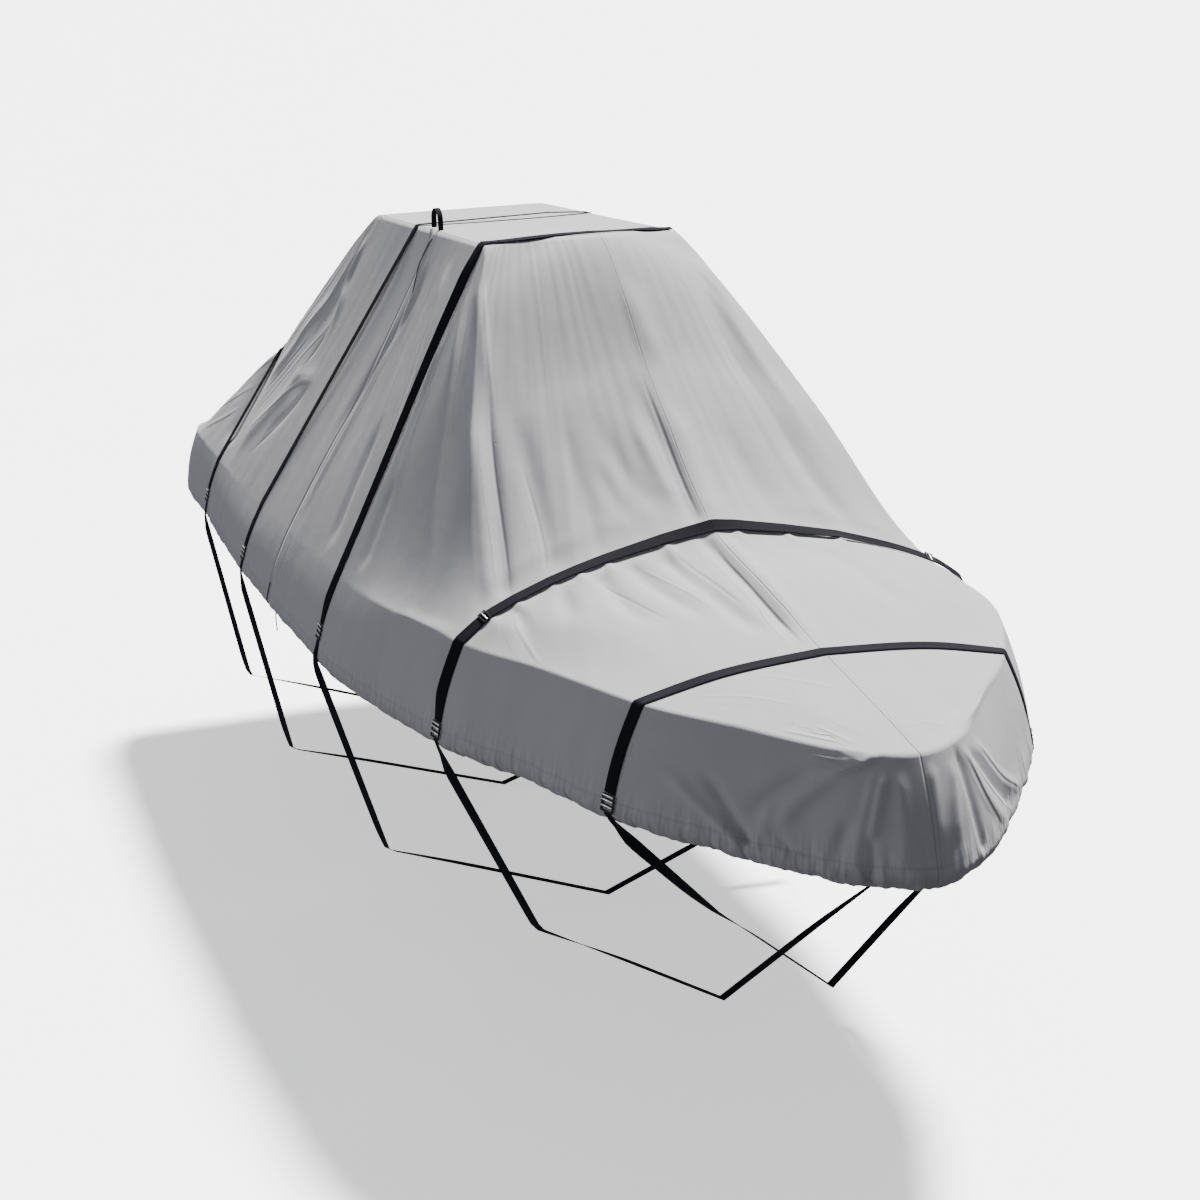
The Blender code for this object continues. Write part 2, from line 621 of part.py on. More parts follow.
def turn_at_height(loop, pivot, side, height):
    """The turn at which a taut loop passes a height on one side of the boat."""
    for a, b in zip(loop, np.roll(loop, -1, axis=0)):
        spans = min(a[1], b[1]) <= height <= max(a[1], b[1])
        if spans and (a[0] + b[0]) * side > 0.0:
            share = (height - a[1]) / (b[1] - a[1])
            return angles_of(np.array([a + share * (b - a)]), pivot)[0]
    raise ValueError("the strap's loop does not reach this height")


def add_strap(name, row, tree):
    """One strap: its run over the cloth, its two buckles and the run under the boat."""
    loops = [strap_edge(name, row, shift, tree) for shift in (-STRAP_WIDTH / 2, STRAP_WIDTH / 2)]
    pivot = row["buckle_z"] - STRAP_PIVOT_DROP
    heights = (row["buckle_z"], row["buckle_z"] - BUCKLE_LENGTH)
    turns = {side: [turn_at_height(loops[0], pivot, side, height) for height in heights] for side in (-1, 1)}
    over = strap_part(name, row, loops, STRAP_WIDTH, turns[-1][0], turns[1][0])
    add_part(name + "_over", ribbon_mesh(name + "_over", over, STRAP_THICK), WEBBING_BLACK, WEBBING_ROUGHNESS)
    port = strap_part(name, row, loops, LOWER_STRAP_WIDTH, turns[1][1], np.pi)
    starboard = strap_part(name, row, loops, LOWER_STRAP_WIDTH, -np.pi, turns[-1][1])
    under = [np.concatenate([a, b[1:]]) for a, b in zip(port, starboard)]
    add_part(name + "_under", ribbon_mesh(name + "_under", under, STRAP_THICK), WEBBING_BLACK, WEBBING_ROUGHNESS)

    for label, side, upper, lower in (("starboard", -1.0, 0, -1), ("port", 1.0, -1, 0)):
        top_ends = [edge[upper] for edge in over]
        low_ends = [edge[lower] for edge in under]
        across = top_ends[1] - top_ends[0] + low_ends[1] - low_ends[0]
        way = (sum(low_ends) - sum(top_ends)) / 2
        out = np.cross(across, way) * side
        out /= np.linalg.norm(out)
        centre = (sum(low_ends) + sum(top_ends)) / 4 + out * BUCKLE_THICK / 2
        size = (BUCKLE_WIDTH, np.linalg.norm(way) - 2 * BUCKLE_GAP, BUCKLE_THICK)
        label = f"{name}_buckle_{label}"
        add_part(label, oriented_box(label, centre, way, across, size), BUCKLE_BLACK, BUCKLE_ROUGHNESS)
    if name == CLIP_STRAP:
        add_clips(over)


def add_clips(edges):
    """Small sliders that sit on the strap just inboard of the gunwale."""
    for side, label in ((-1.0, "starboard"), (1.0, "port")):
        first, second = (edge if side > 0.0 else edge[::-1] for edge in edges)
        middle = (first + second) / 2
        place = int(np.argmax(middle[:, 1] * side > CLIP_Y))
        ahead, behind = middle[place], middle[place - 1]
        share = (CLIP_Y - abs(behind[1])) / (abs(ahead[1]) - abs(behind[1]))
        spot = behind + (ahead - behind) * share
        across = second[place] - first[place] + second[place - 1] - first[place - 1]
        out = np.cross(across, ahead - behind)
        out /= np.linalg.norm(out) * np.sign(out[2])
        centre = spot + out * (STRAP_THICK + CLIP_THICK / 2 + CLIP_LIFT)
        name = f"{CLIP_STRAP}_clip_{label}"
        size = (STRAP_WIDTH + 2 * CLIP_OVERHANG, CLIP_LENGTH, CLIP_THICK)
        box = oriented_box(name, centre, ahead - behind, across, size)
        add_part(name, box, BUCKLE_BLACK, BUCKLE_ROUGHNESS)


# --- ties ---
def add_tie(name, route, tree):
    """A cord tie that hangs down the starboard side with a free end."""
    knots = np.arange(len(route))
    dense = np.linspace(0, len(route) - 1, TIE_POINTS_PER_KNOT * len(route))
    xs = smooth_curve(knots, column(route, TIE_COLUMNS, "x"), dense)
    zs = smooth_curve(knots, column(route, TIE_COLUMNS, "z"), dense)
    points = []
    reach = None
    for x, z in zip(xs, zs):
        place = tree.ray_cast(Vector((x, -CLEAR_OF_ALL, z)), Vector((0.0, 1.0, 0.0)))[0]
        if place is not None and (reach is None or place.y < reach + TIE_REACH_STEP):
            reach = place.y
        points.append((x, reach - TIE_CLEAR, z))
    curve = bpy.data.curves.new(name, "CURVE")
    curve.dimensions = "3D"
    curve.bevel_depth = TIE_DIAMETER / 2
    curve.bevel_resolution = 2
    curve.use_fill_caps = True
    spline = curve.splines.new("POLY")
    spline.points.add(len(points) - 1)
    for knot, point in zip(spline.points, points):
        knot.co = (*point, 1.0)
    add_part(name, curve, WEBBING_BLACK, WEBBING_ROUGHNESS)


def add_top_loop():
    """A webbing loop that stands on the top's starboard edge, for a pipe."""
    base = top_height(LOOP_X, -TOP_HALF_WIDTH) + LOOP_FOOT_CLEAR
    line = [(LOOP_X + LOOP_HALF_SPAN, 0.0, base)]
    for turn in np.radians(np.arange(0, 181, LOOP_ARC_STEP)):
        rise = LOOP_HEIGHT - LOOP_HALF_SPAN + LOOP_HALF_SPAN * np.sin(turn)
        line.append((LOOP_X + LOOP_HALF_SPAN * np.cos(turn), 0.0, base + rise))
    line.append((LOOP_X - LOOP_HALF_SPAN, 0.0, base))
    near = np.array(line) + (0.0, LOOP_EDGE_INSET - TOP_HALF_WIDTH, 0.0)
    far = near + (0.0, LOOP_WIDTH, 0.0)
    name = "top_tie_loop"
    add_part(name, ribbon_mesh(name, [far, near], LOOP_THICK), WEBBING_BLACK, WEBBING_ROUGHNESS)


def build():
    """Make the cover and everything sewn or fitted to it."""
    clear_scene()
    collection = bpy.data.collections.new("boat_cover")
    bpy.context.scene.collection.children.link(collection)
    grid = cloth_grid()
    add_panels(grid)
    add_top(grid)
    tree = cloth_tree(grid)
    for name, values in STRAPS.items():
        add_strap(name, dict(zip(STRAP_COLUMNS, values)), tree)
    add_top_loop()
    add_tie("top_tie", TOP_TIE, tree)
    add_tie("hem_tie", HEM_TIE, tree)


build()
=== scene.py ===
import math

import bmesh
import bpy
import numpy as np
from mathutils import Matrix, Vector
from mathutils.bvhtree import BVHTree


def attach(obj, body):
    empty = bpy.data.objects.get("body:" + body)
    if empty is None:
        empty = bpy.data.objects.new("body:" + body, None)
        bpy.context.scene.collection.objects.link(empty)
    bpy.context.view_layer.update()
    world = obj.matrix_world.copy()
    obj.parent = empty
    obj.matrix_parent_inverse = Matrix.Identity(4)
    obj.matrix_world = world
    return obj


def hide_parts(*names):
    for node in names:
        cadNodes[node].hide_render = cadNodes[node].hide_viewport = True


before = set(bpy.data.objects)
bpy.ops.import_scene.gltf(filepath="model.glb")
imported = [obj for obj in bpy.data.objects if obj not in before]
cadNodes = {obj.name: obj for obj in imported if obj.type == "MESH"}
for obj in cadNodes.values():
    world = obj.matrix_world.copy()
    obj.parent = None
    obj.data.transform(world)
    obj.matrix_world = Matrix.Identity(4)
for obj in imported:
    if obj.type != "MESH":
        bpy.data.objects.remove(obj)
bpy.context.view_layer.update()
print("cover loaded:", len(cadNodes), "nodes")

camera = {
    "place": (11.27013, -3.52911, 1.70883),
    "heading": 160.950,  # degrees from the bow, turning to port
    "downward": 16.681,
    "lean": -1.524,
    "lens": 76.746,
    "sensor": 36.0,
    "nearest": 0.1,
    "farthest": 200.0,
}


def addCamera():
    heading, downward, lean = (
        math.radians(camera[name]) for name in ("heading", "downward", "lean"))
    ahead = Vector((
        math.cos(downward) * math.cos(heading),
        math.cos(downward) * math.sin(heading),
        -math.sin(downward)))
    level = ahead.cross(Vector((0.0, 0.0, 1.0))).normalized()
    upright = level.cross(ahead)
    right = level * math.cos(lean) + upright * math.sin(lean)
    up = upright * math.cos(lean) - level * math.sin(lean)
    lens = bpy.data.cameras.new("studioCamera")
    lens.sensor_width = camera["sensor"]
    lens.lens = camera["lens"]
    lens.clip_start = camera["nearest"]
    lens.clip_end = camera["farthest"]
    viewer = bpy.data.objects.new("studioCamera", lens)
    turned = Matrix((right, up, -ahead)).transposed().to_4x4()
    viewer.matrix_world = Matrix.Translation(Vector(camera["place"])) @ turned
    bpy.context.scene.collection.objects.link(viewer)
    bpy.context.scene.camera = viewer


addCamera()


# a socket that can be added, scaled and compared in plain arithmetic
class Wire:
    def __init__(self, finish, socket):
        self.finish = finish
        self.socket = socket

    def maths(self, operation, *values):
        return self.finish.node(
            "ShaderNodeMath", {"operation": operation}, dict(enumerate(values)))

    def __add__(self, other):
        return self.maths("ADD", self, other)

    def __radd__(self, other):
        return self.maths("ADD", other, self)

    def __sub__(self, other):
        return self.maths("SUBTRACT", self, other)

    def __rsub__(self, other):
        return self.maths("SUBTRACT", other, self)

    def __mul__(self, other):
        return self.maths("MULTIPLY", self, other)

    def __rmul__(self, other):
        return self.maths("MULTIPLY", other, self)

    def sine(self):
        return self.maths("SINE", self)

    def size(self):
        return self.maths("ABSOLUTE", self)

    def above(self, level, softness):
        return self.finish.node("ShaderNodeMapRange", {"interpolation_type": "SMOOTHSTEP"}, {
            "Value": self, "From Min": level - softness, "From Max": level + softness})

    def near(self, middle, reach):
        softness = reach * 0.35
        return 1.0 - (self - middle).size().above(reach, softness)


class Finish:
    def __init__(self, name):
        self.material = bpy.data.materials.new(name)
        self.material.use_nodes = True
        self.tree = self.material.node_tree
        self.tree.nodes.clear()

    def node(self, kind, settings=None, sockets=None, output=0):
        made = self.tree.nodes.new(kind)
        for name, value in (settings or {}).items():
            setattr(made, name, value)
        for key, value in (sockets or {}).items():
            if isinstance(value, Wire):
                self.tree.links.new(value.socket, made.inputs[key])
            else:
                made.inputs[key].default_value = value
        return Wire(self, made.outputs[output])

    def place(self):
        return self.node("ShaderNodeTexCoord", output="Object")

    def weave(self):
        # the flat cloth, with its metres across and its metres along
        flat = self.node("ShaderNodeUVMap", {"uv_map": "weave"})
        across = self.node("ShaderNodeSeparateXYZ", None, {"Vector": flat})
        return flat, across, Wire(self, across.socket.node.outputs["Y"])

    def attribute(self, name):
        return self.node("ShaderNodeAttribute", {"attribute_name": name}, output="Fac")

    def noise(self, where, scale, detail=2.0, roughness=0.5):
        return self.node("ShaderNodeTexNoise", None, {
            "Vector": where, "Scale": scale, "Detail": detail, "Roughness": roughness}, "Fac")

    def stretch(self, where, scale):
        return self.node("ShaderNodeMapping", None, {"Vector": where, "Scale": scale})

    def mix(self, share, first, second):
        return self.node("ShaderNodeMix", {"data_type": "RGBA"}, {0: share, 6: first, 7: second}, 2)

    def bump(self, height, distance, strength=1.0):
        return self.node("ShaderNodeBump", None, {
            "Height": height, "Distance": distance, "Strength": strength})

    def surface(self, sockets):
        shader = self.node("ShaderNodeBsdfPrincipled", None, sockets)
        made = self.tree.nodes.new("ShaderNodeOutputMaterial")
        self.tree.links.new(shader.socket, made.inputs["Surface"])
        return self.material


def deselectAll():
    bpy.ops.object.select_all(action="DESELECT")


def addPiece(name, shape, node, finish=None):
    piece = bpy.data.objects.new(name, shape)
    bpy.context.scene.collection.objects.link(piece)
    if finish is not None:
        shape.materials.append(finish)
    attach(piece, "root")
    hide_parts(node)
    return piece


def wayAlong(line):
    return np.concatenate([[0.0], np.cumsum(np.linalg.norm(np.diff(line, axis=0), axis=1))])


def smoothCurve(knots, values, at):
    # a curve through the knots that never swings past them
    knots = np.asarray(knots, float)
    values = np.asarray(values, float)
    step = np.diff(knots)
    rise = np.diff(values) / step
    slope = np.zeros(len(knots))
    slope[0] = rise[0]
    slope[-1] = rise[-1]
    sameWay = rise[:-1] * rise[1:] > 0.0
    weight = (step[:-1] + step[1:]) / 2.0
    mean = (rise[:-1] * step[1:] + rise[1:] * step[:-1]) / (2.0 * weight)
    least = 2.0 * np.minimum(np.abs(rise[:-1]), np.abs(rise[1:]))
    slope[1:-1] = np.where(sameWay, np.sign(mean) * np.minimum(np.abs(mean), least), 0.0)
    at = np.clip(at, knots[0], knots[-1])
    i = np.clip(np.searchsorted(knots, at) - 1, 0, len(step) - 1)
    h = step[i]
    t = (at - knots[i]) / h
    start = values[i] * (1 + 2 * t) * (1 - t) ** 2 + slope[i] * h * t * (1 - t) ** 2
    end = values[i + 1] * t * t * (3 - 2 * t) - slope[i + 1] * h * t * t * (1 - t)
    return start + end


# ties: thin cord with a free end, close against the cloth
ties = {
    "topTie": {
        "node": "top_tie",
        "route": (
            (0.15, -0.020), (0.12, -0.070), (0.11, -0.130), (0.14, -0.190), (0.19, -0.250)),
        "diameter": 0.006,
        "clear": 0.007,
    },
    "hemTie": {
        "node": "hem_tie",
        "route": (
            (0.060, -1.560), (0.055, -1.620), (0.065, -1.680), (0.040, -1.740), (0.055, -1.800)),
        "diameter": 0.006,
        "clear": 0.007,
    },
}
tieSteps = {
    "bends": 25,
    "roundness": 3,
    "castFrom": -2.3,  # to starboard of the whole cover
    "leap": 0.05,  # past the hem the cord hangs straight on
}


def cordFinish():
    finish = Finish("black braided cord")
    where = finish.place()
    twist = finish.node("ShaderNodeTexWave", {"bands_direction": "DIAGONAL"}, {
        "Vector": where, "Scale": 260.0, "Distortion": 1.5}, "Fac")
    fuzz = finish.noise(where, 420.0, 3.0)
    tone = finish.mix(
        fuzz * 0.7 + twist * 0.3, (0.008, 0.008, 0.011, 1.0), (0.034, 0.034, 0.040, 1.0))
    return finish.surface({
        "Base Color": tone, "Roughness": 0.78, "Normal": finish.bump(twist, 0.0008)})


def addTie(name, tie, finish, skin):
    route = tie["route"]
    dense = np.linspace(0, len(route) - 1, tieSteps["bends"])
    xs, zs = (
        smoothCurve(range(len(route)), [spot[i] for spot in route], dense) for i in (0, 1))
    line = []
    reach = None
    for x, z in zip(xs, zs):
        hit = skin.ray_cast(Vector((x, tieSteps["castFrom"], z)), Vector((0.0, 1.0, 0.0)))[0]
        if hit is not None and (reach is None or hit.y < reach + tieSteps["leap"]):
            reach = hit.y
        line.append(Vector((x, reach - tie["clear"], z)))
    shape = bpy.data.curves.new(name, "CURVE")
    shape.dimensions = "3D"
    shape.bevel_depth = tie["diameter"] / 2
    shape.bevel_resolution = tieSteps["roundness"]
    shape.use_fill_caps = True
    spline = shape.splines.new("POLY")
    spline.points.add(len(line) - 1)
    for knot, spot in zip(spline.points, line):
        knot.co = (*spot, 1.0)
    piece = addPiece(name, shape, tie["node"], finish)


def nodeSkin(names):
    spots = []
    faces = []
    for name in names:
        mesh = cadNodes[name].data
        start = len(spots)
        spots += [vert.co.copy() for vert in mesh.vertices]
        faces += [tuple(start + i for i in face.vertices) for face in mesh.polygons]
    return BVHTree.FromPolygons(spots, faces)


cadSkin = nodeSkin(("cover_aft", "cover_front_starboard", "cover_front_port"))
cordBlack = cordFinish()
for tieName, tieShape in ties.items():
    addTie(tieName, tieShape, cordBlack, cadSkin)

# the cloth: a ring of columns from the top's edge over the gunwale to the hem
cloth = {
    "thickness": 0.0018,
    "seamGap": 0.0004,
    "topHalfLength": 0.90,
    "topHalfWidth": 0.42,
    "topInset": 0.004,
    "topFrontRise": 0.05,
    "topFrontCrown": 0.035,
    "topHold": 5,  # how soon the slopes leave the top's own height
    "hemTuckIn": 0.045,
    "hemTuckDown": 0.055,
    "tuckInCurve": 1.6,
    "tuckDownCurve": 0.8,
    "skirtBelly": 0.014,
    "ridgeSharpness": 0.7,
    "hipSoftness": 2.2,
    "leastSide": 0.03,
    "sideReach": 1.05,
    "portFullness": 0.10,
    "portFullX": 2.90,
    "portFullReach": 0.42,
    "deckRows": 112,
    "deckRowSpread": 0.92,
    "unfoldedRows": 5.0,  # the folds fade in over the first few rows
    "skirtRows": 34,
    "hemRows": 7,
    "hemShare": 0.12,  # the tucked hem, as a share of the skirt's depth
    "frontFiner": 6,
    "aftFiner": 5,
}

sectionNames = ("x", "ridgeZ", "hipHalf", "hipZ", "creaseHalf", "creaseZ", "hemZ", "fall", "land")
sections = (
    (-2.70, -1.400, 1.050, -1.400, 1.100, -1.400, -1.740, 1.0, 1.0),
    (-2.35, -1.235, 1.035, -1.285, 1.125, -1.385, -1.730, 0.9, 1.0),
    (-1.95, -0.965, 0.890, -1.000, 1.137, -1.378, -1.715, 1.0, 1.0),
    (-1.60, -0.690, 0.735, -0.722, 1.142, -1.370, -1.705, 1.1, 1.0),
    (-1.27, -0.375, 0.585, -0.388, 1.150, -1.362, -1.705, 1.1, 1.0),
    (-1.04, -0.155, 0.480, -0.160, 1.154, -1.357, -1.705, 1.1, 1.0),
    (-0.90, -0.046, 0.420, -0.050, 1.155, -1.355, -1.705, 1.1, 1.0),
    (0.04, 0.004, 0.420, 0.002, 1.160, -1.330, -1.703, 1.2, 1.0),
    (0.90, 0.054, 0.430, 0.050, 1.155, -1.305, -1.695, 1.0, 1.0),
    (1.15, 0.040, 0.525, -0.118, 1.152, -1.292, -1.693, 1.0, 0.9),
    (1.69, -0.380, 0.742, -0.580, 1.120, -1.250, -1.660, 1.35, 0.45),
    (2.41, -0.872, 0.920, -1.122, 1.030, -1.200, -1.615, 0.7, 1.0),
    (2.90, -0.970, 0.620, -1.060, 0.860, -1.175, -1.600, 0.8, 1.0),
    (3.44, -1.068, 0.470, -1.112, 0.690, -1.160, -1.590, 0.9, 1.0),
    (3.90, -1.140, 0.200, -1.155, 0.360, -1.180, -1.610, 1.0, 1.0),
    (4.22, -1.195, 0.060, -1.195, 0.120, -1.195, -1.630, 1.0, 1.0),
)

# lines along which half of the cloth is pulled, bow to stern, and the columns between them
pullNames = ("topX", "topY", "creaseX", "creaseY", "hemX", "hemY", "columns")
pullLines = {
    "bow centre": (1.15, 0.00, 4.20, 0.000, 4.345, 0.000, 5),
    "nose corner": (1.14, 0.08, 4.11, 0.190, 4.240, 0.230, 5),
    "bow shoulder": (1.10, 0.16, 3.78, 0.450, 3.900, 0.530, 5),
    "strap 1": (1.05, 0.23, 3.44, 0.695, 3.470, 0.805, 5),
    "bow quarter": (1.01, 0.29, 2.90, 0.865, 2.920, 0.970, 5),
    "strap 2": (0.97, 0.35, 2.41, 1.030, 2.420, 1.140, 5),
    "fore shoulder": (0.93, 0.40, 1.75, 1.115, 1.760, 1.225, 5),
    "strap 3": (0.87, 0.43, 1.11, 1.152, 1.110, 1.272, 7),
    "side seam": (0.10, 0.42, 0.04, 1.160, 0.040, 1.280, 5),
    "strap 4": (-0.30, 0.42, -0.55, 1.161, -0.550, 1.278, 5),
    "aft quarter": (-0.72, 0.42, -1.20, 1.155, -1.200, 1.255, 5),
    "strap 5": (-0.88, 0.39, -1.68, 1.140, -1.680, 1.225, 5),
    "stern quarter": (-0.90, 0.33, -2.38, 1.115, -2.390, 1.190, 4),
    "stern corner": (-0.90, 0.26, -2.66, 0.970, -2.700, 1.040, 6),
    "stern centre": (-0.90, 0.00, -2.69, 0.000, -2.730, 0.000, 0),
}
sideSeam = list(pullLines).index("side seam")

# folds of the sloping cloth, seen from above: the line, the width at its start and end,
# the height (a negative one is a trough), and how far each end fades out, as a share of
# the line
deckFolds = {
    "seam trough upper": (
        ((1.72, -0.07), (1.92, -0.055), (2.10, -0.04), (2.38, -0.045)),
        0.030, 0.032, -0.013, 0.3, 0.1),
    "seam trough middle": (
        ((2.42, -0.05), (2.76, -0.045), (3.05, -0.045), (3.40, -0.07)),
        0.030, 0.026, -0.021, 0.08, 0.3),
    "seam patch": (((1.36, 0.03), (1.50, 0.04), (1.72, 0.05)), 0.05, 0.05, 0.016, 0.4, 0.4),
    "seam ridge upper": (((1.80, 0.03), (2.10, 0.05), (2.38, 0.03)), 0.05, 0.04, 0.012, 0.3, 0.2),
    "seam ridge lower": (((2.44, 0.03), (2.80, 0.03), (3.30, 0.01)), 0.035, 0.03, 0.012, 0.2, 0.3),
    "front fan 1": (
        ((1.50, -0.60), (1.69, -0.67), (1.95, -0.73), (2.16, -0.78), (2.36, -0.83)),
        0.022, 0.030, -0.016, 0.35, 0.1),
    "front fan 1 rim": (
        ((1.55, -0.70), (1.95, -0.79), (2.16, -0.84), (2.34, -0.89)),
        0.03, 0.035, 0.013, 0.3, 0.2),
    "front fan 2": (
        ((1.60, -0.52), (1.75, -0.57), (1.98, -0.59), (2.16, -0.60), (2.36, -0.64)),
        0.045, 0.050, -0.016, 0.35, 0.15),
    "front fan 3": (
        ((1.72, -0.38), (1.95, -0.41), (2.16, -0.42), (2.36, -0.46)),
        0.035, 0.040, -0.009, 0.35, 0.2),
    "front fan 4": (
        ((1.80, -0.28), (2.05, -0.23), (2.30, -0.14)),
        0.035, 0.045, -0.008, 0.35, 0.3),
    "front fan 5": (((1.98, -0.34), (2.28, -0.28)), 0.030, 0.035, -0.006, 0.35, 0.3),
    "front ridge": (
        ((1.84, -0.14), (2.04, -0.11), (2.28, -0.09)),
        0.030, 0.030, 0.010, 0.35, 0.3),
    "corner ridge": (
        ((0.94, -0.50), (1.10, -0.60), (1.24, -0.67), (1.54, -0.84), (1.75, -0.95), (1.92, -1.03)),
        0.022, 0.045, 0.015, 0.25, 0.35),
    "corner ridge 2": (
        ((1.00, -0.49), (1.32, -0.57), (1.62, -0.64)),
        0.022, 0.030, 0.009, 0.3, 0.4),
    "port corner ridge": (
        ((1.00, 0.46), (1.36, 0.48), (1.70, 0.56), (2.00, 0.66)),
        0.03, 0.06, 0.016, 0.25, 0.35),
    "port corner trough": (
        ((1.10, 0.40), (1.50, 0.42), (1.90, 0.50)),
        0.05, 0.06, -0.012, 0.3, 0.3),
    "port front fan": (
        ((1.76, 0.50), (1.91, 0.53), (2.20, 0.62), (2.36, 0.68)),
        0.05, 0.06, -0.020, 0.4, 0.3),
    "port front fan 2": (((1.85, 0.22), (2.36, 0.34)), 0.06, 0.07, -0.010, 0.4, 0.3),
    "foredeck fan 1": (
        ((2.46, -0.50), (2.72, -0.50), (3.05, -0.44)),
        0.030, 0.050, -0.015, 0.1, 0.4),
    "foredeck fan 2": (
        ((2.46, -0.37), (2.70, -0.35), (3.10, -0.27)),
        0.030, 0.050, -0.016, 0.1, 0.4),
    "foredeck fan 3": (
        ((2.46, -0.24), (2.81, -0.20), (3.30, -0.13)),
        0.030, 0.045, -0.017, 0.1, 0.3),
    "foredeck fan 4": (((2.44, -0.65), (2.77, -0.69)), 0.030, 0.045, -0.014, 0.1, 0.5),
    "foredeck fan 5": (((2.44, -0.82), (2.77, -0.85)), 0.025, 0.040, -0.013, 0.1, 0.5),
    "port foredeck fan": (
        ((2.50, 0.40), (2.80, 0.44), (3.20, 0.50)),
        0.05, 0.07, -0.010, 0.2, 0.4),
    "side fold 1": (
        ((0.50, -0.48), (0.64, -0.56), (0.75, -0.66), (0.86, -0.80), (0.90, -0.95)),
        0.020, 0.040, 0.012, 0.2, 0.4),
    "side fold 2": (
        ((0.81, -0.55), (0.94, -0.66), (1.01, -0.77), (1.12, -0.87), (1.24, -1.00)),
        0.020, 0.035, 0.010, 0.3, 0.4),
    "side fold 3": (
        ((0.30, -0.48), (0.25, -0.56), (0.14, -0.69), (0.06, -0.84), (-0.02, -0.98)),
        0.030, 0.045, -0.012, 0.3, 0.4),
    "side fold 4": (
        ((0.60, -0.82), (0.62, -0.92), (0.66, -1.05), (0.70, -1.13)),
        0.035, 0.040, -0.012, 0.3, 0.2),
    "side fold 5": (((1.10, -0.91), (1.17, -1.05), (1.20, -1.12)), 0.030, 0.040, -0.010, 0.3, 0.2),
    "port side fold 1": (((0.50, 0.46), (0.55, 1.08)), 0.03, 0.06, 0.014, 0.2, 0.3),
    "port side fold 2": (((-0.20, 0.46), (-0.30, 1.08)), 0.03, 0.06, -0.014, 0.2, 0.3),
    "hip fold": (
        ((-0.96, -0.47), (-1.06, -0.63), (-1.25, -0.71), (-1.37, -0.79), (-1.62, -0.87)),
        0.024, 0.030, 0.010, 0.2, 0.25),
    "hip trough": (
        ((-0.84, -0.52), (-0.90, -0.62), (-1.10, -0.76), (-1.30, -0.88), (-1.58, -1.00)),
        0.035, 0.045, -0.004, 0.2, 0.3),
    "aft ridge": (
        ((-0.92, -0.46), (-0.92, -0.57), (-0.82, -0.66), (-0.79, -0.73)),
        0.020, 0.030, 0.014, 0.2, 0.4),
    "port hip fold": (((-0.98, 0.46), (-1.50, 0.74), (-2.10, 1.04)), 0.04, 0.06, 0.024, 0.2, 0.3),
    "box edge": (((-1.10, -0.85), (-0.86, -0.84), (-0.62, -0.83)), 0.022, 0.022, 0.006, 0.3, 0.4),
    "box corner ridge": (
        ((-0.93, -0.84), (-1.10, -0.92), (-1.25, -0.99), (-1.50, -1.06)),
        0.030, 0.045, 0.009, 0.25, 0.3),
    "box corner crease": (
        ((-0.70, -0.85), (-0.84, -0.93), (-1.03, -1.02), (-1.10, -1.08)),
        0.018, 0.026, -0.006, 0.25, 0.4),
    "box small crease": (
        ((-0.86, -0.71), (-0.89, -0.76), (-0.93, -0.80)),
        0.012, 0.016, -0.004, 0.3, 0.3),
    "strap 5 pinch": (((-1.68, -0.62), (-1.68, -1.10)), 0.09, 0.10, -0.014, 0.15, 0.1),
    "port strap 5 pinch": (((-1.68, 0.62), (-1.68, 1.10)), 0.10, 0.12, -0.024, 0.15, 0.1),
    "stern sag": (((-1.60, -0.10), (-2.30, 0.10)), 0.45, 0.45, -0.035, 0.12, 0.12),
    "side seam lap": (
        ((0.20, -0.46), (0.19, -0.66), (0.16, -0.86), (0.10, -1.12)),
        0.022, 0.026, 0.008, 0.1, 0.2),
    "nose ridge": (((4.06, 0.20), (3.84, 0.39), (3.60, 0.58)), 0.020, 0.030, 0.010, 0.2, 0.4),
    "gunwale corner ridge": (
        ((1.76, -1.11), (2.13, -1.07), (2.37, -1.02)),
        0.018, 0.020, 0.006, 0.3, 0.3),
}

# the cloth bunches a little where the second strap crosses it
bunches = {
    "across": (-0.90, -0.80, -0.66, -0.55, -0.44, -0.20, 0.09, 0.30, 0.52),
    "aftX": 2.37,
    "foreX": 2.56,
    "spread": 1.02,
    "shape": (0.018, 0.026, 0.008, 0.2, 0.6),
}
for number, bunchY in enumerate(bunches["across"]):
    line = ((bunches["aftX"], bunchY), (bunches["foreX"], bunchY * bunches["spread"]))
    deckFolds[f"bunch {number}"] = (line, *bunches["shape"])

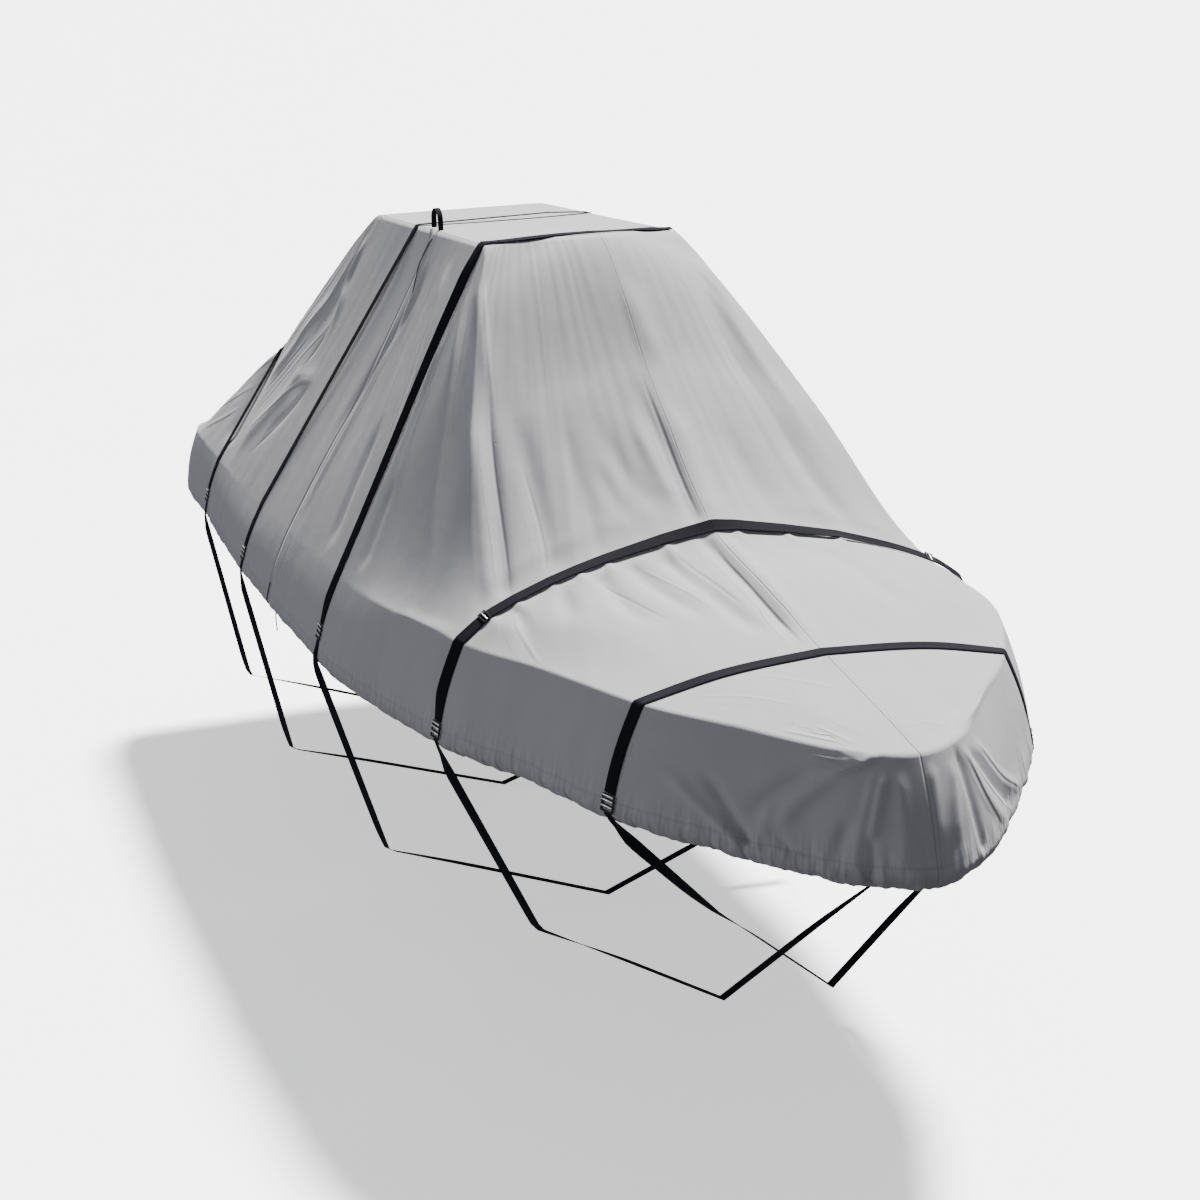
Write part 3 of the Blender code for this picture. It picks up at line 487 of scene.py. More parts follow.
# folds of the skirt: metres round the gunwale from the bow (port positive) and the
# share of the skirt's depth
skirtFolds = {
    "left of gather": (
        ((-0.77, 0.38), (-0.66, 0.71), (-0.58, 0.98)),
        0.030, 0.022, -0.018, 0.3, 0.1),
    "over gather": (((-0.90, 0.45), (-0.74, 0.75), (-0.60, 0.98)), 0.035, 0.022, 0.016, 0.3, 0.1),
    "right of gather": (
        ((-0.50, 0.50), (-0.54, 0.80), (-0.57, 0.98)),
        0.025, 0.018, 0.015, 0.3, 0.1),
    "burst 1": (((-0.13, 0.02), (-0.23, 0.07), (-0.42, 0.10)), 0.012, 0.016, 0.017, 0.15, 0.4),
    "burst 2": (((-0.15, 0.04), (-0.23, 0.13), (-0.33, 0.24)), 0.014, 0.018, 0.016, 0.2, 0.4),
    "burst ridge": (((-0.26, 0.18), (-0.41, 0.47), (-0.50, 0.80)), 0.030, 0.030, 0.020, 0.3, 0.3),
    "burst trough": (
        ((-0.34, 0.16), (-0.50, 0.45), (-0.60, 0.72)),
        0.030, 0.035, -0.013, 0.3, 0.3),
    "loop fold": (((-0.48, 0.80), (-0.43, 0.93), (-0.35, 0.85)), 0.014, 0.014, -0.010, 0.2, 0.3),
    "under ridge": (
        ((-0.235, 0.50), (-0.27, 0.75), (-0.307, 1.0)),
        0.022, 0.025, -0.014, 0.3, 0.1),
    "double ridge": (
        ((-0.115, 0.08), (-0.161, 0.53), (-0.205, 1.0)),
        0.014, 0.014, 0.012, 0.2, 0.1),
    "double ridge aft": (
        ((-0.145, 0.08), (-0.196, 0.53), (-0.240, 1.0)),
        0.014, 0.014, 0.008, 0.2, 0.1),
    "double slit": (
        ((-0.170, 0.60), (-0.185, 0.85), (-0.196, 1.1)),
        0.014, 0.014, -0.020, 0.3, 0.05),
    "bow fall 1": (((-0.075, 0.08), (-0.081, 0.74), (-0.10, 1.0)), 0.022, 0.026, 0.008, 0.2, 0.2),
    "bow fall 2": (((0.035, 0.06), (0.010, 0.77)), 0.018, 0.022, 0.007, 0.2, 0.3),
    "bow fall 3": (((0.122, 0.10), (0.070, 0.80)), 0.018, 0.022, 0.008, 0.2, 0.3),
    "port corner trough": (
        ((0.165, 0.02), (0.18, 0.5), (0.205, 0.98)),
        0.018, 0.022, -0.010, 0.15, 0.1),
    "port corner ridge": (
        ((0.205, 0.05), (0.307, 0.62), (0.454, 1.0)),
        0.022, 0.030, 0.008, 0.15, 0.2),
    "port corner trough 2": (
        ((0.245, 0.10), (0.40, 0.62), (0.60, 1.0)),
        0.024, 0.034, -0.007, 0.15, 0.2),
    "port corner ridge 2": (
        ((0.31, 0.10), (0.50, 0.62), (0.74, 1.0)),
        0.028, 0.036, 0.009, 0.15, 0.2),
}

# fine creases, only a few millimetres wide: the line and its rise in millimetres
deckCreases = {
    "front fan 1": (((1.55, -0.625), (1.80, -0.695), (2.16, -0.765), (2.37, -0.815)), -3.0),
    "front fan 2": (((1.85, -0.60), (2.16, -0.62), (2.37, -0.66)), -1.6),
    "seam lee": (((1.70, -0.035), (2.00, -0.028), (2.37, -0.028)), -3.0),
    "nose stitching": (((4.02, 0.02), (4.00, 0.12), (4.04, 0.21)), 1.2),
    "corner pull 1": (((0.98, -0.48), (1.30, -0.66), (1.62, -0.86), (1.86, -1.02)), 2.2),
    "corner pull 2": (((0.99, -0.46), (1.35, -0.56), (1.75, -0.66)), 1.4),
    "corner pull 3": (((0.86, -0.50), (0.98, -0.66), (1.16, -0.92)), 2.0),
    "corner pull 4": (((0.80, -0.47), (0.86, -0.66), (0.95, -0.90), (1.00, -1.05)), 1.6),
    "side pull 1": (((0.48, -0.46), (0.62, -0.62), (0.80, -0.86), (0.86, -1.00)), 2.4),
    "side pull 2": (((0.36, -0.46), (0.46, -0.66), (0.62, -0.92)), 1.6),
    "side lap 1": (((0.16, -0.45), (0.15, -0.66), (0.12, -0.86), (0.06, -1.12)), -6.5),
    "side lap 2": (((0.25, -0.60), (0.22, -0.76), (0.20, -0.92)), 1.8),
    "aft pull 1": (((-0.92, -0.46), (-1.00, -0.60), (-1.25, -0.715), (-1.62, -0.86)), 3.4),
    "aft pull 2": (((-0.91, -0.44), (-1.25, -0.62), (-1.70, -0.80), (-2.10, -0.95)), 2.2),
    "aft pull 3": (((-0.78, -0.64), (-0.92, -0.72), (-1.20, -0.84), (-1.52, -0.98)), 3.0),
    "aft pull 4": (((-0.64, -0.84), (-0.90, -0.86), (-1.12, -0.93), (-1.50, -1.05)), 3.4),
    "aft crease 1": (((-0.70, -0.86), (-0.84, -0.94), (-1.03, -1.03), (-1.16, -1.08)), -2.8),
    "aft crease 2": (((-0.84, -0.70), (-0.89, -0.76), (-0.96, -0.82)), -3.6),
    "aft crease 3": (((-1.10, -0.74), (-1.30, -0.83), (-1.55, -0.93)), -3.2),
    "aft corner 1": (((-1.80, -0.98), (-2.10, -1.05), (-2.35, -1.10)), 2.4),
    "aft corner 2": (((-1.74, -0.90), (-2.05, -0.97), (-2.45, -1.06)), 2.2),
    "fore pull 1": (((2.45, -0.83), (2.62, -0.86), (2.90, -0.86)), 1.8),
    "fore pull 2": (((2.45, -0.53), (2.75, -0.47), (3.05, -0.40)), -1.6),
    "fore pull 3": (((2.45, -0.36), (2.80, -0.27), (3.10, -0.20)), 1.4),
    "seam lee fore": (((2.45, -0.035), (2.80, -0.038), (3.20, -0.040), (3.42, -0.05)), -4.5),
    "fore pull 4": (((2.45, -0.20), (2.75, -0.16), (3.05, -0.12)), -2.0),
    "nose burst 1": (((4.06, -0.18), (3.96, -0.26), (3.84, -0.36)), 3.0),
    "nose burst 2": (((4.07, -0.16), (4.00, -0.19), (3.88, -0.24)), 2.4),
    "port nose pull": (((4.06, 0.22), (3.90, 0.36), (3.66, 0.56)), 3.0),
    "bow pull 1": (((3.50, -0.55), (3.62, -0.36), (3.80, -0.20)), 1.0),
    "bow pull 2": (((3.48, -0.30), (3.60, -0.16), (3.72, -0.05)), 1.0),
}
skirtCreases = {
    "port gather 1": (((0.20, 0.10), (0.27, 0.55), (0.40, 1.0)), -4.5),
    "port gather 2": (((0.24, 0.14), (0.38, 0.60), (0.56, 1.0)), 3.6),
    "port gather 3": (((0.30, 0.10), (0.48, 0.60), (0.72, 1.0)), -3.3),
    "strap 1 lee": (((-1.07, 0.20), (-1.10, 0.60), (-1.12, 0.95)), 2.4),
    "aft fall 1": (((-4.40, 0.05), (-4.42, 0.5), (-4.42, 0.95)), -3.0),
    "aft fall 2": (((-6.30, 0.02), (-6.34, 0.5), (-6.42, 0.95)), 3.0),
}
skirtScale = (1.0, 0.4)  # metres round the edge, and metres for the skirt's whole depth
creaseReach = 0.05
creaseFade = 0.3

hemGathers = {
    "depth": 0.0050,
    "reach": 1.9,
    "steps": (0.17, 0.23, 0.31),
    "ripple": 0.0050,
    "rippleSteps": (0.036, 0.050, 0.083, 0.13),
    "droop": 0.0060,
    "droopSteps": (0.19, 0.33, 0.71),
    "seed": 5,
}


def column(rows, names, name):
    place = names.index(name)
    return np.array([row[place] for row in rows])


def ringCurve(name, at, mirrored=False):
    half = column(pullLines.values(), pullNames, name)
    sign = -1.0 if mirrored else 1.0
    whole = np.concatenate([sign * half[:0:-1], half])
    return smoothCurve(np.arange(len(whole)) - (len(half) - 1), whole, at)


def section(name, x):
    return smoothCurve(column(sections, sectionNames, "x"), column(sections, sectionNames, name), x)


def topHeight(x, y):
    along = x / cloth["topHalfLength"]
    rounded = 1.0 - (y / cloth["topHalfWidth"]) ** 2
    crown = cloth["topFrontCrown"] * rounded * np.clip(along, 0.0, 1.0) ** 4
    return cloth["thickness"] + cloth["topFrontRise"] * along + crown


def portFullness(x, y):
    away = (x - cloth["portFullX"]) / cloth["portFullReach"]
    return np.where(y > 0.0, cloth["portFullness"] * np.exp(-away ** 2), 0.0)


def easedRun(start, end, startSlope, endSlope, width, share):
    rest = 1.0 - share
    first = start * (1.0 + 2.0 * share) + startSlope * width * share
    last = end * (3.0 - 2.0 * share) - endSlope * width * rest
    return first * rest ** 2 + last * share ** 2


def stretchedHeight(x, y):
    ridge, hipZ, creaseZ = (section(name, x) for name in ("ridgeZ", "hipZ", "creaseZ"))
    fullness = portFullness(x, y)
    hip = section("hipHalf", x) + fullness
    outer = np.maximum(section("creaseHalf", x) + fullness - hip, cloth["leastSide"])
    innerSlope = (hipZ - ridge) / hip
    outerSlope = (creaseZ - hipZ) / outer
    leaving = section("fall", x) * outerSlope
    arriving = np.maximum(leaving, cloth["hipSoftness"] * innerSlope)
    across = np.abs(y)
    inside = np.clip(across / hip, 0.0, 1.0)
    outside = np.clip((across - hip) / outer, 0.0, cloth["sideReach"])
    top = easedRun(ridge, hipZ, cloth["ridgeSharpness"] * innerSlope, arriving, hip, inside)
    side = easedRun(hipZ, creaseZ, leaving, section("land", x) * outerSlope, outer, outside)
    return np.where(across < hip, top, side)


def smoothLine(spots, count=24):
    spots = np.array(spots, float)
    if len(spots) == 2:
        return spots
    knots = wayAlong(spots)
    at = np.linspace(0.0, knots[-1], count)
    return np.column_stack([smoothCurve(knots, spots[:, i], at) for i in (0, 1)])


def smoothStep(share):
    share = np.clip(share, 0.0, 1.0)
    return share * share * (3.0 - 2.0 * share)


def nearLine(flat, line, reach):
    inside = (flat > line.min(0) - reach) & (flat < line.max(0) + reach)
    return np.flatnonzero(np.all(inside, axis=1))


def besideLine(near, line):
    # how far each point is from the line, on which side, and how far along it, from 0 to 1
    runs = wayAlong(line)
    runs /= runs[-1]
    best = np.full(len(near), 1e9)
    side = np.zeros(len(near))
    along = np.zeros(len(near))
    for i, (start, stop) in enumerate(zip(line[:-1], line[1:])):
        run = stop - start
        share = np.clip(((near - start) @ run) / (run @ run), 0.0, 1.0)
        off = near - (start + share[:, None] * run)
        away = np.linalg.norm(off, axis=1)
        closer = away < best
        best = np.where(closer, away, best)
        turn = np.sign(run[0] * off[:, 1] - run[1] * off[:, 0])
        side = np.where(closer, turn, side)
        along = np.where(closer, runs[i] + share * (runs[i + 1] - runs[i]), along)
    return best, side, along


def creaseMarks(place, creases, scale=(1.0, 1.0)):
    # how far each point lies beside its nearest crease, and that crease's rise
    flat = place.reshape(-1, 2)
    nearest = np.full(len(flat), creaseReach)
    beside = np.full(len(flat), creaseReach)
    rise = np.zeros(len(flat))
    for spots, height in creases.values():
        line = smoothLine(spots) * scale
        inReach = nearLine(flat, line, creaseReach)
        away, side, along = besideLine(flat[inReach], line)
        closer = away < nearest[inReach]
        here = inReach[closer]
        fade = smoothStep(along / creaseFade) * smoothStep((1.0 - along) / creaseFade)
        nearest[here] = away[closer]
        beside[here] = (away * np.where(side == 0.0, 1.0, side))[closer]
        rise[here] = height * fade[closer]
    shape = place.shape[:-1]
    return beside.reshape(shape), rise.reshape(shape)


def foldLift(place, folds):
    flat = place.reshape(-1, 2)
    lift = np.zeros(len(flat))
    for spots, startWidth, endWidth, height, fadeIn, fadeOut in folds.values():
        line = smoothLine(spots)
        inReach = nearLine(flat, line, 4.0 * max(startWidth, endWidth))
        away, _, along = besideLine(flat[inReach], line)
        width = startWidth + (endWidth - startWidth) * along
        fade = smoothStep(along / fadeIn) * smoothStep((1.0 - along) / fadeOut)
        lift[inReach] += height * fade * np.exp(-(away / width) ** 2)
    return lift.reshape(place.shape[:-1])


def clothLines():
    half = [0.0]
    for number, line in enumerate(list(pullLines.values())[:-1]):
        finer = cloth["frontFiner"] if number < sideSeam else cloth["aftFiner"]
        count = line[-1] * finer
        half += [number + (step + 1) / count for step in range(count)]
    return np.array([-at for at in half[:0:-1]] + half)


def gridNormals(grid):
    normal = np.cross(np.gradient(grid, axis=0), np.gradient(grid, axis=1))
    return normal / np.linalg.norm(normal, axis=-1)[..., None]


def unevenness(roundWay, seed, steps):
    generator = np.random.default_rng(seed)
    total = np.zeros_like(roundWay)
    for step in steps:
        phase, stretch = generator.uniform(0.0, 2.0 * np.pi), generator.uniform(0.85, 1.15)
        total += np.sin(2.0 * np.pi * roundWay / (step * stretch) + phase)
    return total / len(steps)


def smoothCloth(at):
    # the cloth without its folds, in rows from the top's edge down to the hem
    top, crease, rail = (
        np.stack([ringCurve(edge + "X", at), ringCurve(edge + "Y", at, True)], axis=-1)
        for edge in ("top", "crease", "hem"))
    for edge in (crease, rail):
        edge[:, 1] += portFullness(edge[:, 0], edge[:, 1])
    roundWay = wayAlong(crease)
    roundWay -= roundWay[np.argmin(np.abs(at))]

    rows = []
    mismatch = topHeight(top[:, 0], top[:, 1]) - stretchedHeight(top[:, 0], top[:, 1])
    for down in np.linspace(0.0, 1.0, cloth["deckRows"] + 1) ** cloth["deckRowSpread"]:
        plan = top + (crease - top) * down
        height = stretchedHeight(plan[:, 0], plan[:, 1])
        rows.append(np.column_stack([plan, height + mismatch * (1.0 - down) ** cloth["topHold"]]))
    shares = [0.0] * len(rows)

    tangent = np.gradient(rail, axis=0)
    outward = np.stack([tangent[:, 1], -tangent[:, 0]], axis=-1)
    outward /= np.linalg.norm(outward, axis=1)[:, None]
    creaseZ = rows[-1][:, 2]
    droop = unevenness(roundWay, hemGathers["seed"] + 2, hemGathers["droopSteps"])
    hemZ = section("hemZ", crease[:, 0])
    railZ = hemZ + cloth["hemTuckDown"] + hemGathers["droop"] * droop
    for down in np.arange(1, cloth["skirtRows"] + 1) / cloth["skirtRows"]:
        belly = cloth["skirtBelly"] * np.sin(np.pi * down)
        plan = crease + (rail - crease) * down + outward * belly
        rows.append(np.column_stack([plan, creaseZ + (railZ - creaseZ) * down]))
        shares.append(down)
    for turn in np.arange(1, cloth["hemRows"] + 1) / cloth["hemRows"]:
        plan = rail - outward * (cloth["hemTuckIn"] * turn ** cloth["tuckInCurve"])
        height = railZ - cloth["hemTuckDown"] * turn ** cloth["tuckDownCurve"]
        rows.append(np.column_stack([plan, height]))
        shares.append(1.0 + cloth["hemShare"] * turn)
    return np.array(rows), np.array(shares), roundWay


def clothGrid(at):
    grid, shares, roundWay = smoothCloth(at)
    deckRows = cloth["deckRows"] + 1
    deck = grid[:deckRows, :, :2]
    edgeFade = smoothStep(np.arange(deckRows) / cloth["unfoldedRows"])[:, None]
    deckLift = foldLift(deck, deckFolds) * edgeFade

    shares = shares[deckRows:, None]
    skirt = np.stack(np.broadcast_arrays(roundWay[None, :], shares), axis=-1)
    seed = hemGathers["seed"]
    bowReach = np.exp(-(roundWay / hemGathers["reach"]) ** 2)
    gathers = hemGathers["depth"] * bowReach * unevenness(roundWay, seed, hemGathers["steps"])
    ripple = hemGathers["ripple"] * unevenness(roundWay, seed + 1, hemGathers["rippleSteps"])
    depth = np.minimum(shares, 1.0)
    skirtLift = foldLift(skirt, skirtFolds) + gathers * depth ** 2 + ripple * depth ** 6

    # marks that the canvas reads: metres above the hem, and metres beside the nearest crease
    smoothWay = np.cumsum(np.linalg.norm(np.diff(grid, axis=0, prepend=grid[:1]), axis=2), axis=0)
    deckAway, deckRise = creaseMarks(deck, deckCreases)
    skirtAway, skirtRise = creaseMarks(skirt * skirtScale, skirtCreases, skirtScale)
    marks = {
        "hemAway": smoothWay[-1][None, :] - smoothWay,
        "creaseAway": np.concatenate([deckAway, skirtAway]),
        "creaseRise": np.concatenate([deckRise, skirtRise]),
    }
    lift = np.concatenate([deckLift, skirtLift])
    return grid + gridNormals(grid) * lift[..., None], roundWay, marks


def gridFaces(rows, columns):
    first = (np.arange(rows - 1)[:, None] * columns + np.arange(columns - 1)[None, :]).ravel()
    return np.stack([first, first + columns, first + columns + 1, first + 1], axis=1)


def sheetMesh(name, outer, normals, weave, marks):
    rows, columns = outer.shape[:2]
    count = rows * columns
    inner = outer - normals * cloth["thickness"]
    spots = np.concatenate([outer.reshape(-1, 3), inner.reshape(-1, 3)])
    top = gridFaces(rows, columns)
    under = top[:, (0, 3, 2, 1)] + count
    rim = [(0, j) for j in range(columns)] + [(i, columns - 1) for i in range(1, rows)]
    rim += [(rows - 1, j) for j in range(columns - 2, -1, -1)]
    rim += [(i, 0) for i in range(rows - 2, 0, -1)]
    ring = np.array([i * columns + j for i, j in rim])
    after = np.roll(ring, -1)
    side = np.stack([ring, after, after + count, ring + count], axis=1)
    mesh = bpy.data.meshes.new(name)
    mesh.from_pydata(spots.tolist(), [], np.concatenate([top, under, side]).tolist())
    mesh.validate()
    layer = mesh.uv_layers.new(name="weave")
    corners = np.empty(len(mesh.loops), np.int32)
    mesh.loops.foreach_get("vertex_index", corners)
    flat = np.tile(weave.reshape(-1, 2), (2, 1))[corners]
    layer.data.foreach_set("uv", flat.astype(np.float32).ravel())
    for mark, values in marks.items():
        store = mesh.attributes.new(mark, "FLOAT", "POINT")
        store.data.foreach_set("value", np.tile(values.ravel(), 2).astype(np.float32))
    mesh.update()
    if mesh.polygons[0].normal.dot(Vector(normals[0, 0])) < 0.0:
        mesh.flip_normals()
    mesh.shade_smooth()
    return mesh


canvas = {
    "shade": (0.262, 0.261, 0.270, 1.0),
    "light": (0.300, 0.298, 0.306, 1.0),
    "fleck": (0.235, 0.235, 0.243, 1.0),
    "slub": (0.35, 0.35, 0.36, 1.0),
    # the darker tone of the ragged patches along the hem
    "hemDarkening": (0.13, 0.127, 0.123, 1.0),
    "thread": (0.09, 0.09, 0.094, 1.0),
    "weaveTurns": 4500.0,  # radians of weave to a metre
    "stitchTurns": 700.0,
    "creaseHalf": 0.0065,
    "gatherHeight": (0.13, 0.09),  # metres above the hem, and how softly it ends
    "hemRows": ((0.112, 0.0022), (0.106, 0.0012)),  # rows of stitches: metres away and reach
    "seamBand": (0.010, 0.011),
    "seamRows": ((0.003, 0.0012), (0.018, 0.0012)),
    "bandOff": 0.03,  # a seam's plain side is marked this much further from it
    # heights in millimetres
    "relief": {
        "crumple": 2.6, "pull": 5.0, "gather": 24.0, "crease": 1.3,
        "band": 0.9, "hemRow": 0.5, "weave": 0.15,
    },
}


def clothFinish():
    finish = Finish("grey boat canvas")
    where = finish.place()
    weave, across, down = finish.weave()
    seam = finish.attribute("seamAway")
    hem = finish.attribute("hemAway")

    # plain weave: warp and weft take turns on top
    threads = (across * canvas["weaveTurns"]).sine() * (down * canvas["weaveTurns"]).sine()
    slub = finish.noise(finish.stretch(weave, (30.0, 700.0, 1.0)), 1.0, 0.0)
    crumple = finish.noise(where, 7.0, 2.0, 0.6)

    # the pull of the straps: long soft wrinkles from the top towards the hem
    pull = finish.noise(finish.stretch(weave, (7.0, 1.1, 1.0)), 1.0, 0.0)
    gather = finish.noise(finish.stretch(weave, (34.0, 7.0, 1.0)), 1.0, 1.0, 0.5)
    low = 1.0 - hem.above(*canvas["gatherHeight"])
    creaseAway = finish.attribute("creaseAway").size()
    onCrease = 1.0 - creaseAway.above(canvas["creaseHalf"], canvas["creaseHalf"])
    crease = finish.attribute("creaseRise") * onCrease

    # flat-felled seam: two rows of stitches either side of a raised band
    band = seam.near(*canvas["seamBand"])
    rows = seam.near(*canvas["seamRows"][0]) + seam.near(*canvas["seamRows"][1])
    stitch = rows * (down * canvas["stitchTurns"]).sine().above(-0.2, 0.3)
    rows = hem.near(*canvas["hemRows"][0]) + hem.near(*canvas["hemRows"][1])
    hemRow = rows * (across * canvas["stitchTurns"]).sine().above(-0.4, 0.3)

    mottle = finish.noise(where, 2.2, 3.0, 0.6)
    fine = finish.noise(where, 60.0, 1.0, 0.6)
    tone = finish.mix(mottle.above(0.5, 0.35), canvas["shade"], canvas["light"])
    tone = finish.mix(fine * 0.35, tone, canvas["fleck"])
    tone = finish.mix(slub.above(0.62, 0.12) * 0.12, tone, canvas["slub"])

    # a darker tone in ragged patches along the hem
    patches = finish.noise(where, 14.0, 1.0)
    ragged = 1.0 - (hem + (patches - 0.5) * 0.14).above(0.075, 0.04)
    hemDarkening = ragged * patches.above(0.38, 0.25)
    tone = finish.mix(hemDarkening * 0.6, tone, canvas["hemDarkening"])
    tone = finish.mix(stitch * 0.55 + hemRow * 0.25, tone, canvas["thread"])

    relief = canvas["relief"]
    height = crumple * relief["crumple"] + pull * relief["pull"]
    height = height + gather * low * relief["gather"] + crease * relief["crease"]
    height = height + band * relief["band"] - stitch - hemRow * relief["hemRow"]
    height = height + (threads * 0.5 + slub) * relief["weave"]
    return finish.surface({
        "Base Color": tone, "Roughness": 0.80 + mottle * 0.12,
        "Normal": finish.bump(height, 0.001),
        "Sheen Weight": 0.05, "Sheen Roughness": 0.4, "Specular IOR Level": 0.35})


# cut sizes in metres; bandOff is 1 where the felled band of a panel's left or right seam lies
# on its neighbour
panels = {
    "coverFrontStarboard": {
        "node": "cover_front_starboard", "flat": (3.3, 4.4), "area": 7.2, "bandOff": (0, 1)},
    "coverFrontPort": {
        "node": "cover_front_port", "flat": (3.3, 4.4), "area": 7.25, "bandOff": (0, 0)},
    "coverAft": {
        "node": "cover_aft", "flat": (2.6, 7.4), "area": 11.7, "bandOff": (1, 1)},
}


def addCloth(finish):
    at = clothLines()
    grid, roundWay, places = clothGrid(at)
    normals = gridNormals(grid)
    downWay = np.cumsum(np.linalg.norm(np.diff(grid, axis=0, prepend=grid[:1]), axis=2), axis=0)
    acrossWay = np.broadcast_to(roundWay[None, :], downWay.shape)
    bow, starboard, port = (
        int(np.argmin(np.abs(at - place))) for place in (0, -sideSeam, sideSeam))
    spans = {
        "coverFrontStarboard": list(range(starboard, bow + 1)),
        "coverFrontPort": list(range(bow, port + 1)),
        "coverAft": list(range(port, len(at) - 1)) + list(range(starboard + 1)),
    }
    for name, panel in panels.items():
        span = spans[name]
        outer = grid[:, span].copy()
        left, right = (canvas["bandOff"] * off for off in panel["bandOff"])
        seamAway = np.minimum(
            np.linalg.norm(outer - outer[:, :1], axis=2) + left,
            np.linalg.norm(outer - outer[:, -1:], axis=2) + right)
        for edge, beside in ((0, 1), (-1, -2)):
            inward = outer[:, beside] - outer[:, edge]
            inward /= np.linalg.norm(inward, axis=1)[:, None]
            outer[:, edge] += inward * cloth["seamGap"] / 2
        across = acrossWay[:, span]
        if name == "coverAft":  # its weave runs on across the stern
            across = np.where(across < 0.0, across + roundWay[-1] - roundWay[0], across)
        weave = np.stack([across, downWay[:, span]], axis=-1)
        marks = {mark: values[:, span] for mark, values in places.items()}
        marks["seamAway"] = seamAway
        mesh = sheetMesh(name, outer, normals[:, span], weave, marks)
        piece = addPiece(name, mesh, panel["node"], finish)
        print(name, len(mesh.polygons), "faces")
    return grid


canvasGrey = clothFinish()
clothPoints = addCloth(canvasGrey)

topPanel = {
    "rings": (1.0, 0.985, 0.96, 0.92, 0.85, 0.72, 0.58, 0.44, 0.30, 0.18, 0.08),
    "sag": 0.006,
    "binding": 0.0016,
    "bindingAt": 0.985,
    "bindingReach": 0.012,
    "seamAway": 0.5,
    "flat": (0.86, 2.1),
    "area": 1.63,
}


def topRings(grid):
    plan = grid[0, :-1, :2]
    reach = np.linalg.norm(plan, axis=1)[:, None]
    edge = plan * (reach - cloth["topInset"]) / reach
    rings = []
    for share in topPanel["rings"]:
        flat = edge * share
        x, y = flat[:, 0], flat[:, 1]
        uneven = 1.0 + 0.4 * np.sin(3.0 * x) * np.cos(4.0 * y)
        sag = topPanel["sag"] * (1.0 - share ** 2) * uneven
        fromBinding = (share - topPanel["bindingAt"]) / topPanel["bindingReach"]
        binding = topPanel["binding"] * np.exp(-fromBinding ** 2)
        rings.append(np.column_stack([flat, topHeight(x, y) - sag + binding]))
    return rings


def addTop(grid, finish):
    rings = topRings(grid)
    count = len(rings[0])
    bm = bmesh.new()
    layers = []
    for depth in (0.0, cloth["thickness"]):
        layer = [[bm.verts.new((x, y, z - depth)) for x, y, z in ring] for ring in rings]
        x, y, z = rings[-1].mean(axis=0)
        middle = bm.verts.new((x, y, z - depth))
        layers.append((layer, middle))
    for layer, middle in layers:
        for outer, inner in zip(layer[:-1], layer[1:]):
            for i in range(count):
                j = (i + 1) % count
                bm.faces.new((outer[i], outer[j], inner[j], inner[i]))
        for i in range(count):
            bm.faces.new((layer[-1][i], layer[-1][(i + 1) % count], middle))
    upper, lower = (layer[0] for layer, middle in layers)
    for i in range(count):
        j = (i + 1) % count
        bm.faces.new((upper[j], upper[i], lower[i], lower[j]))
    bmesh.ops.recalc_face_normals(bm, faces=bm.faces)
    mesh = bpy.data.meshes.new("coverTop")
    bm.to_mesh(mesh)
    bm.free()
    layer = mesh.uv_layers.new(name="weave")
    for loop in mesh.loops:
        spot = mesh.vertices[loop.vertex_index].co
        layer.data[loop.index].uv = (spot.x, spot.y)
    for mark in ("seamAway", "hemAway"):
        store = mesh.attributes.new(mark, "FLOAT", "POINT")
        store.data.foreach_set("value", [topPanel["seamAway"]] * len(mesh.vertices))
    mesh.shade_smooth()
    piece = addPiece("coverTop", mesh, "cover_top", finish)
    print("coverTop", len(mesh.polygons), "faces")


addTop(clothPoints, canvasGrey)

# webbing: each strap is one taut loop round the cloth and the hull
webbing = {
    "width": 0.050,
    "thickness": 0.0026,
    "clear": 0.004,
    "lowWidth": 0.048,
    "step": 0.014,
    "lowStep": 0.035,
    "sideY": 1.15,
    "pivotDrop": 0.25,
    "buckleLength": 0.070,
    "hemTuck": 0.055,
    "neck": 0.028,
    "neckLength": 0.11,
    "foldedLength": 0.04,
    "profile": ((0.0, 0.35), (0.04, 1.0), (0.5, 1.0), (0.96, 1.0), (1.0, 0.35)),
}
# rays that find the cloth, and the steps along a loop
strapCast = {"over": 401, "side": 60, "from": 2.3, "dense": 1500}

# how far two of the straps lean towards the bow, in degrees: in the middle, at the corner
# of the top and at the side
strapLeans = {"strap_2": (22.0, 22.0, 22.0), "strap_3": (6.0, 36.0, 14.0)}
# and how far each lower run leans, where the hull flares to the bow
lowLeans = {
    "strap_1": 38.0, "strap_2": 32.0, "strap_3": 26.0, "strap_4": 28.0, "strap_5": 28.0}
leaning = {
    "cornerFrom": 0.40,
    "cornerBlend": 0.12,
    "heartZ": -1.3,  # leans turn away from a line inside the boat at this height
    "overEase": 9.0,  # points over which a lean fades out at the buckles
    "lowEase": 5.0,
    "keelFree": 0.20,
    "keelBlend": 0.30,
}

strapNames = ("overX", "lowX", "buckleZ", "chineY", "chineZ", "keelX", "keelZ")
straps = {
    "strap_1": (3.44, 3.44, -1.472, 0.420, -1.970, 3.50, -2.32),
    "strap_2": (2.41, 2.41, -1.495, 0.760, -2.400, 2.44, -2.84),
    "strap_3": (0.89, 0.985, -1.500, 1.000, -2.570, 1.04, -2.93),
    "strap_4": (-0.18, -0.55, -1.540, 1.080, -2.600, -0.55, -2.95),
    "strap_5": (-1.68, -1.68, -1.520, 1.050, -2.560, -1.70, -2.93),
}


